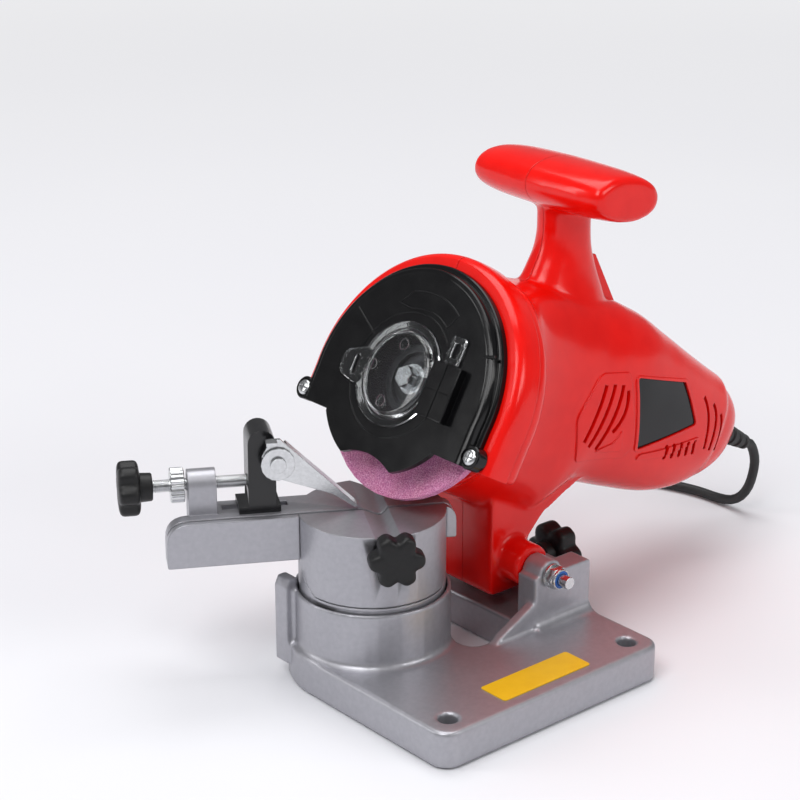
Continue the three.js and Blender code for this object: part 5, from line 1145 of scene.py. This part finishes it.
def makeWindow():
    pane = turned("cover_window_fine", paneRows, "x", eye["centre"], headFrame, 96)
    tab = alongHead("tab", roundedOutline(tabCorners), clearFace["tab"], clearFace["back"])
    boolean(tab, [alongHead("slot", roundedOutline(tabSlot), ahead, behind)])
    boolean(pane, [tab], "UNION")
    rings = [boolean(headRod("groove", moulding["outer"], ahead, moulding["deep"], spot, 32),
                     [headRod("core", moulding["inner"], ahead - 1, behind, spot, 32)])
             for spot in moulding["spots"]]
    boolean(pane, [*rings, latchRoom(latch["room"])])
    dress(shade(pane, 30), clearPlastic, "head", ["cover_window"])
    clip = alongHead("window_clip_fine", roundedOutline(clipOutside), clearFace["clip"], clearFace["back"])
    boolean(clip, [alongHead("opening", roundedOutline(clipInside), ahead, behind)])
    dress(shade(clip, 30), clearPlastic, "head", ["window_clip"])


makeCover()
makeWindow()
print("cover made")


# Carried-over solids, shaded smoothly
carried = [
    (castAlloy, "base", ["base_casting"]),
    (castAlloy, "turntable", ["turntable"]),
    (castAlloy, "vice_jaw", ["front_jaw"]),
    (yellowLabel, "base", ["sticker_plate"]),
    (zincSteel, "base", ["pivot_bolt", "pivot_washer_near", "pivot_washer_far", "swivel_bolt",
                         "swivel_washer"]),
    (zincSteel, "depth_rod", ["depth_screw"]),
    (zincSteel, "clamp", ["clamp_screw"]),
    (blackPaint, "chain_stop", ["stop_bracket"]),
    (zincSteel, "pawl", ["stop_pawl"]),
    (zincSteel, "chain_stop", ["pawl_washer", "pawl_pin"]),
    (abrasive, "wheel_spindle", ["grinding_wheel"]),
    (zincSteel, "wheel_spindle", ["flange_inner", "hub_bolt", "hub_washer"]),
    (darkSteel, "wheel_spindle", ["flange_outer"]),
    (redPlastic, "trigger", ["trigger"]),
]
casting = {"voxel": 0.9, "passes": 4, "room": 34.35, "roomFloor": 18.0, "roomTop": 60}


def carryOver():
    for look, body, nodes in carried:
        for node in nodes:
            item = copyOf(node, node + "_fine")
            if node == "base_casting":
                softened(item, casting["voxel"], casting["passes"])
                # the softening closes the clearances round the drum, so its room is cut again
                boolean(item, [rod("drumRoom", casting["room"], casting["roomFloor"], casting["roomTop"],
                                   count=96)])
                shade(item, 40)
            dress(item, look, body, [node])
    for node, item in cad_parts.items():
        if not item.hide_render:
            look = blackMatte if node.startswith(("motor_fan", "switch")) else zincSteel
            item.data.materials.clear()
            item.data.materials.append(look[0])


carryOver()
print("solids dressed")


# Stage and light
lamps = [
    {"name": "key", "place": (-0.9, -0.35, 1.4), "size": (0.8, 0.8), "power": 13, "colour": (1, 1, 1)},
    {"name": "fill", "place": (0.5, -1.4, 0.9), "size": (0.9, 0.5), "power": 7, "colour": (1, 0.99, 0.98)},
    {"name": "top", "place": (0.25, 0.25, 1.5), "size": (1.1, 1.1), "power": 13, "colour": (1, 1, 1)},
    {"name": "edge", "place": (-1.2, 0.9, 0.8), "size": (0.3, 1.0), "power": 5, "colour": (1, 1, 1)},
]
aim = Vector((0.08, 0, 0.1))


def makeFloor():
    half, drop = 6000, -0.4
    floor = meshOf("floor", [(-half, -half, drop), (half, -half, drop), (half, half, drop),
                             (-half, half, drop)],
                   [(0, 1, 2, 3)])
    material, tree, shader = newMaterial("floorWhite")
    place = objectPlace(tree)
    noise = step(tree, "ShaderNodeTexNoise", {"Vector": place, "Scale": 3})
    tint = colourRamp(tree, noise, (0, (0.80, 0.80, 0.84)), (1, (0.83, 0.83, 0.86)))
    # far from the object the table fades to white
    spread = vectorMaths(tree, "LENGTH", place).outputs["Value"]
    fade = step(tree, "ShaderNodeMapRange", {"Value": spread, "From Min": 0.3, "From Max": 2.6,
                                             "To Max": 0.75})
    fill(tree, shader, {"Base Color": tint, "Roughness": 0.6, "Emission Color": (1, 1, 1, 1),
                        "Emission Strength": fade})
    floor.data.materials.append(material)


def makeWorld():
    world = bpy.data.worlds.new("world")
    world.use_nodes = True
    tree = world.node_tree
    # the backdrop is white to the eye, and dimmer to the object
    seen = step(tree, "ShaderNodeLightPath").outputs["Is Camera Ray"]
    strength = step(tree, "ShaderNodeMapRange", {"Value": seen, "To Min": 0.22, "To Max": 0.95})
    fill(tree, tree.nodes["Background"], {"Color": (0.97, 0.97, 1.0, 1), "Strength": strength})
    scene.world = world


def makeLamp(lamp):
    data = bpy.data.lights.new(lamp["name"], "AREA")
    data.shape, data.energy, data.color = "RECTANGLE", lamp["power"], lamp["colour"]
    data.size, data.size_y = lamp["size"]
    item = bpy.data.objects.new(lamp["name"], data)
    item.location = lamp["place"]
    item.rotation_mode = "QUATERNION"
    item.rotation_quaternion = (aim - Vector(lamp["place"])).to_track_quat("-Z", "Y")
    scene.collection.objects.link(item)


makeFloor()
makeWorld()
for lamp in lamps:
    makeLamp(lamp)
scene.view_settings.view_transform = "Standard"
print("stage made")
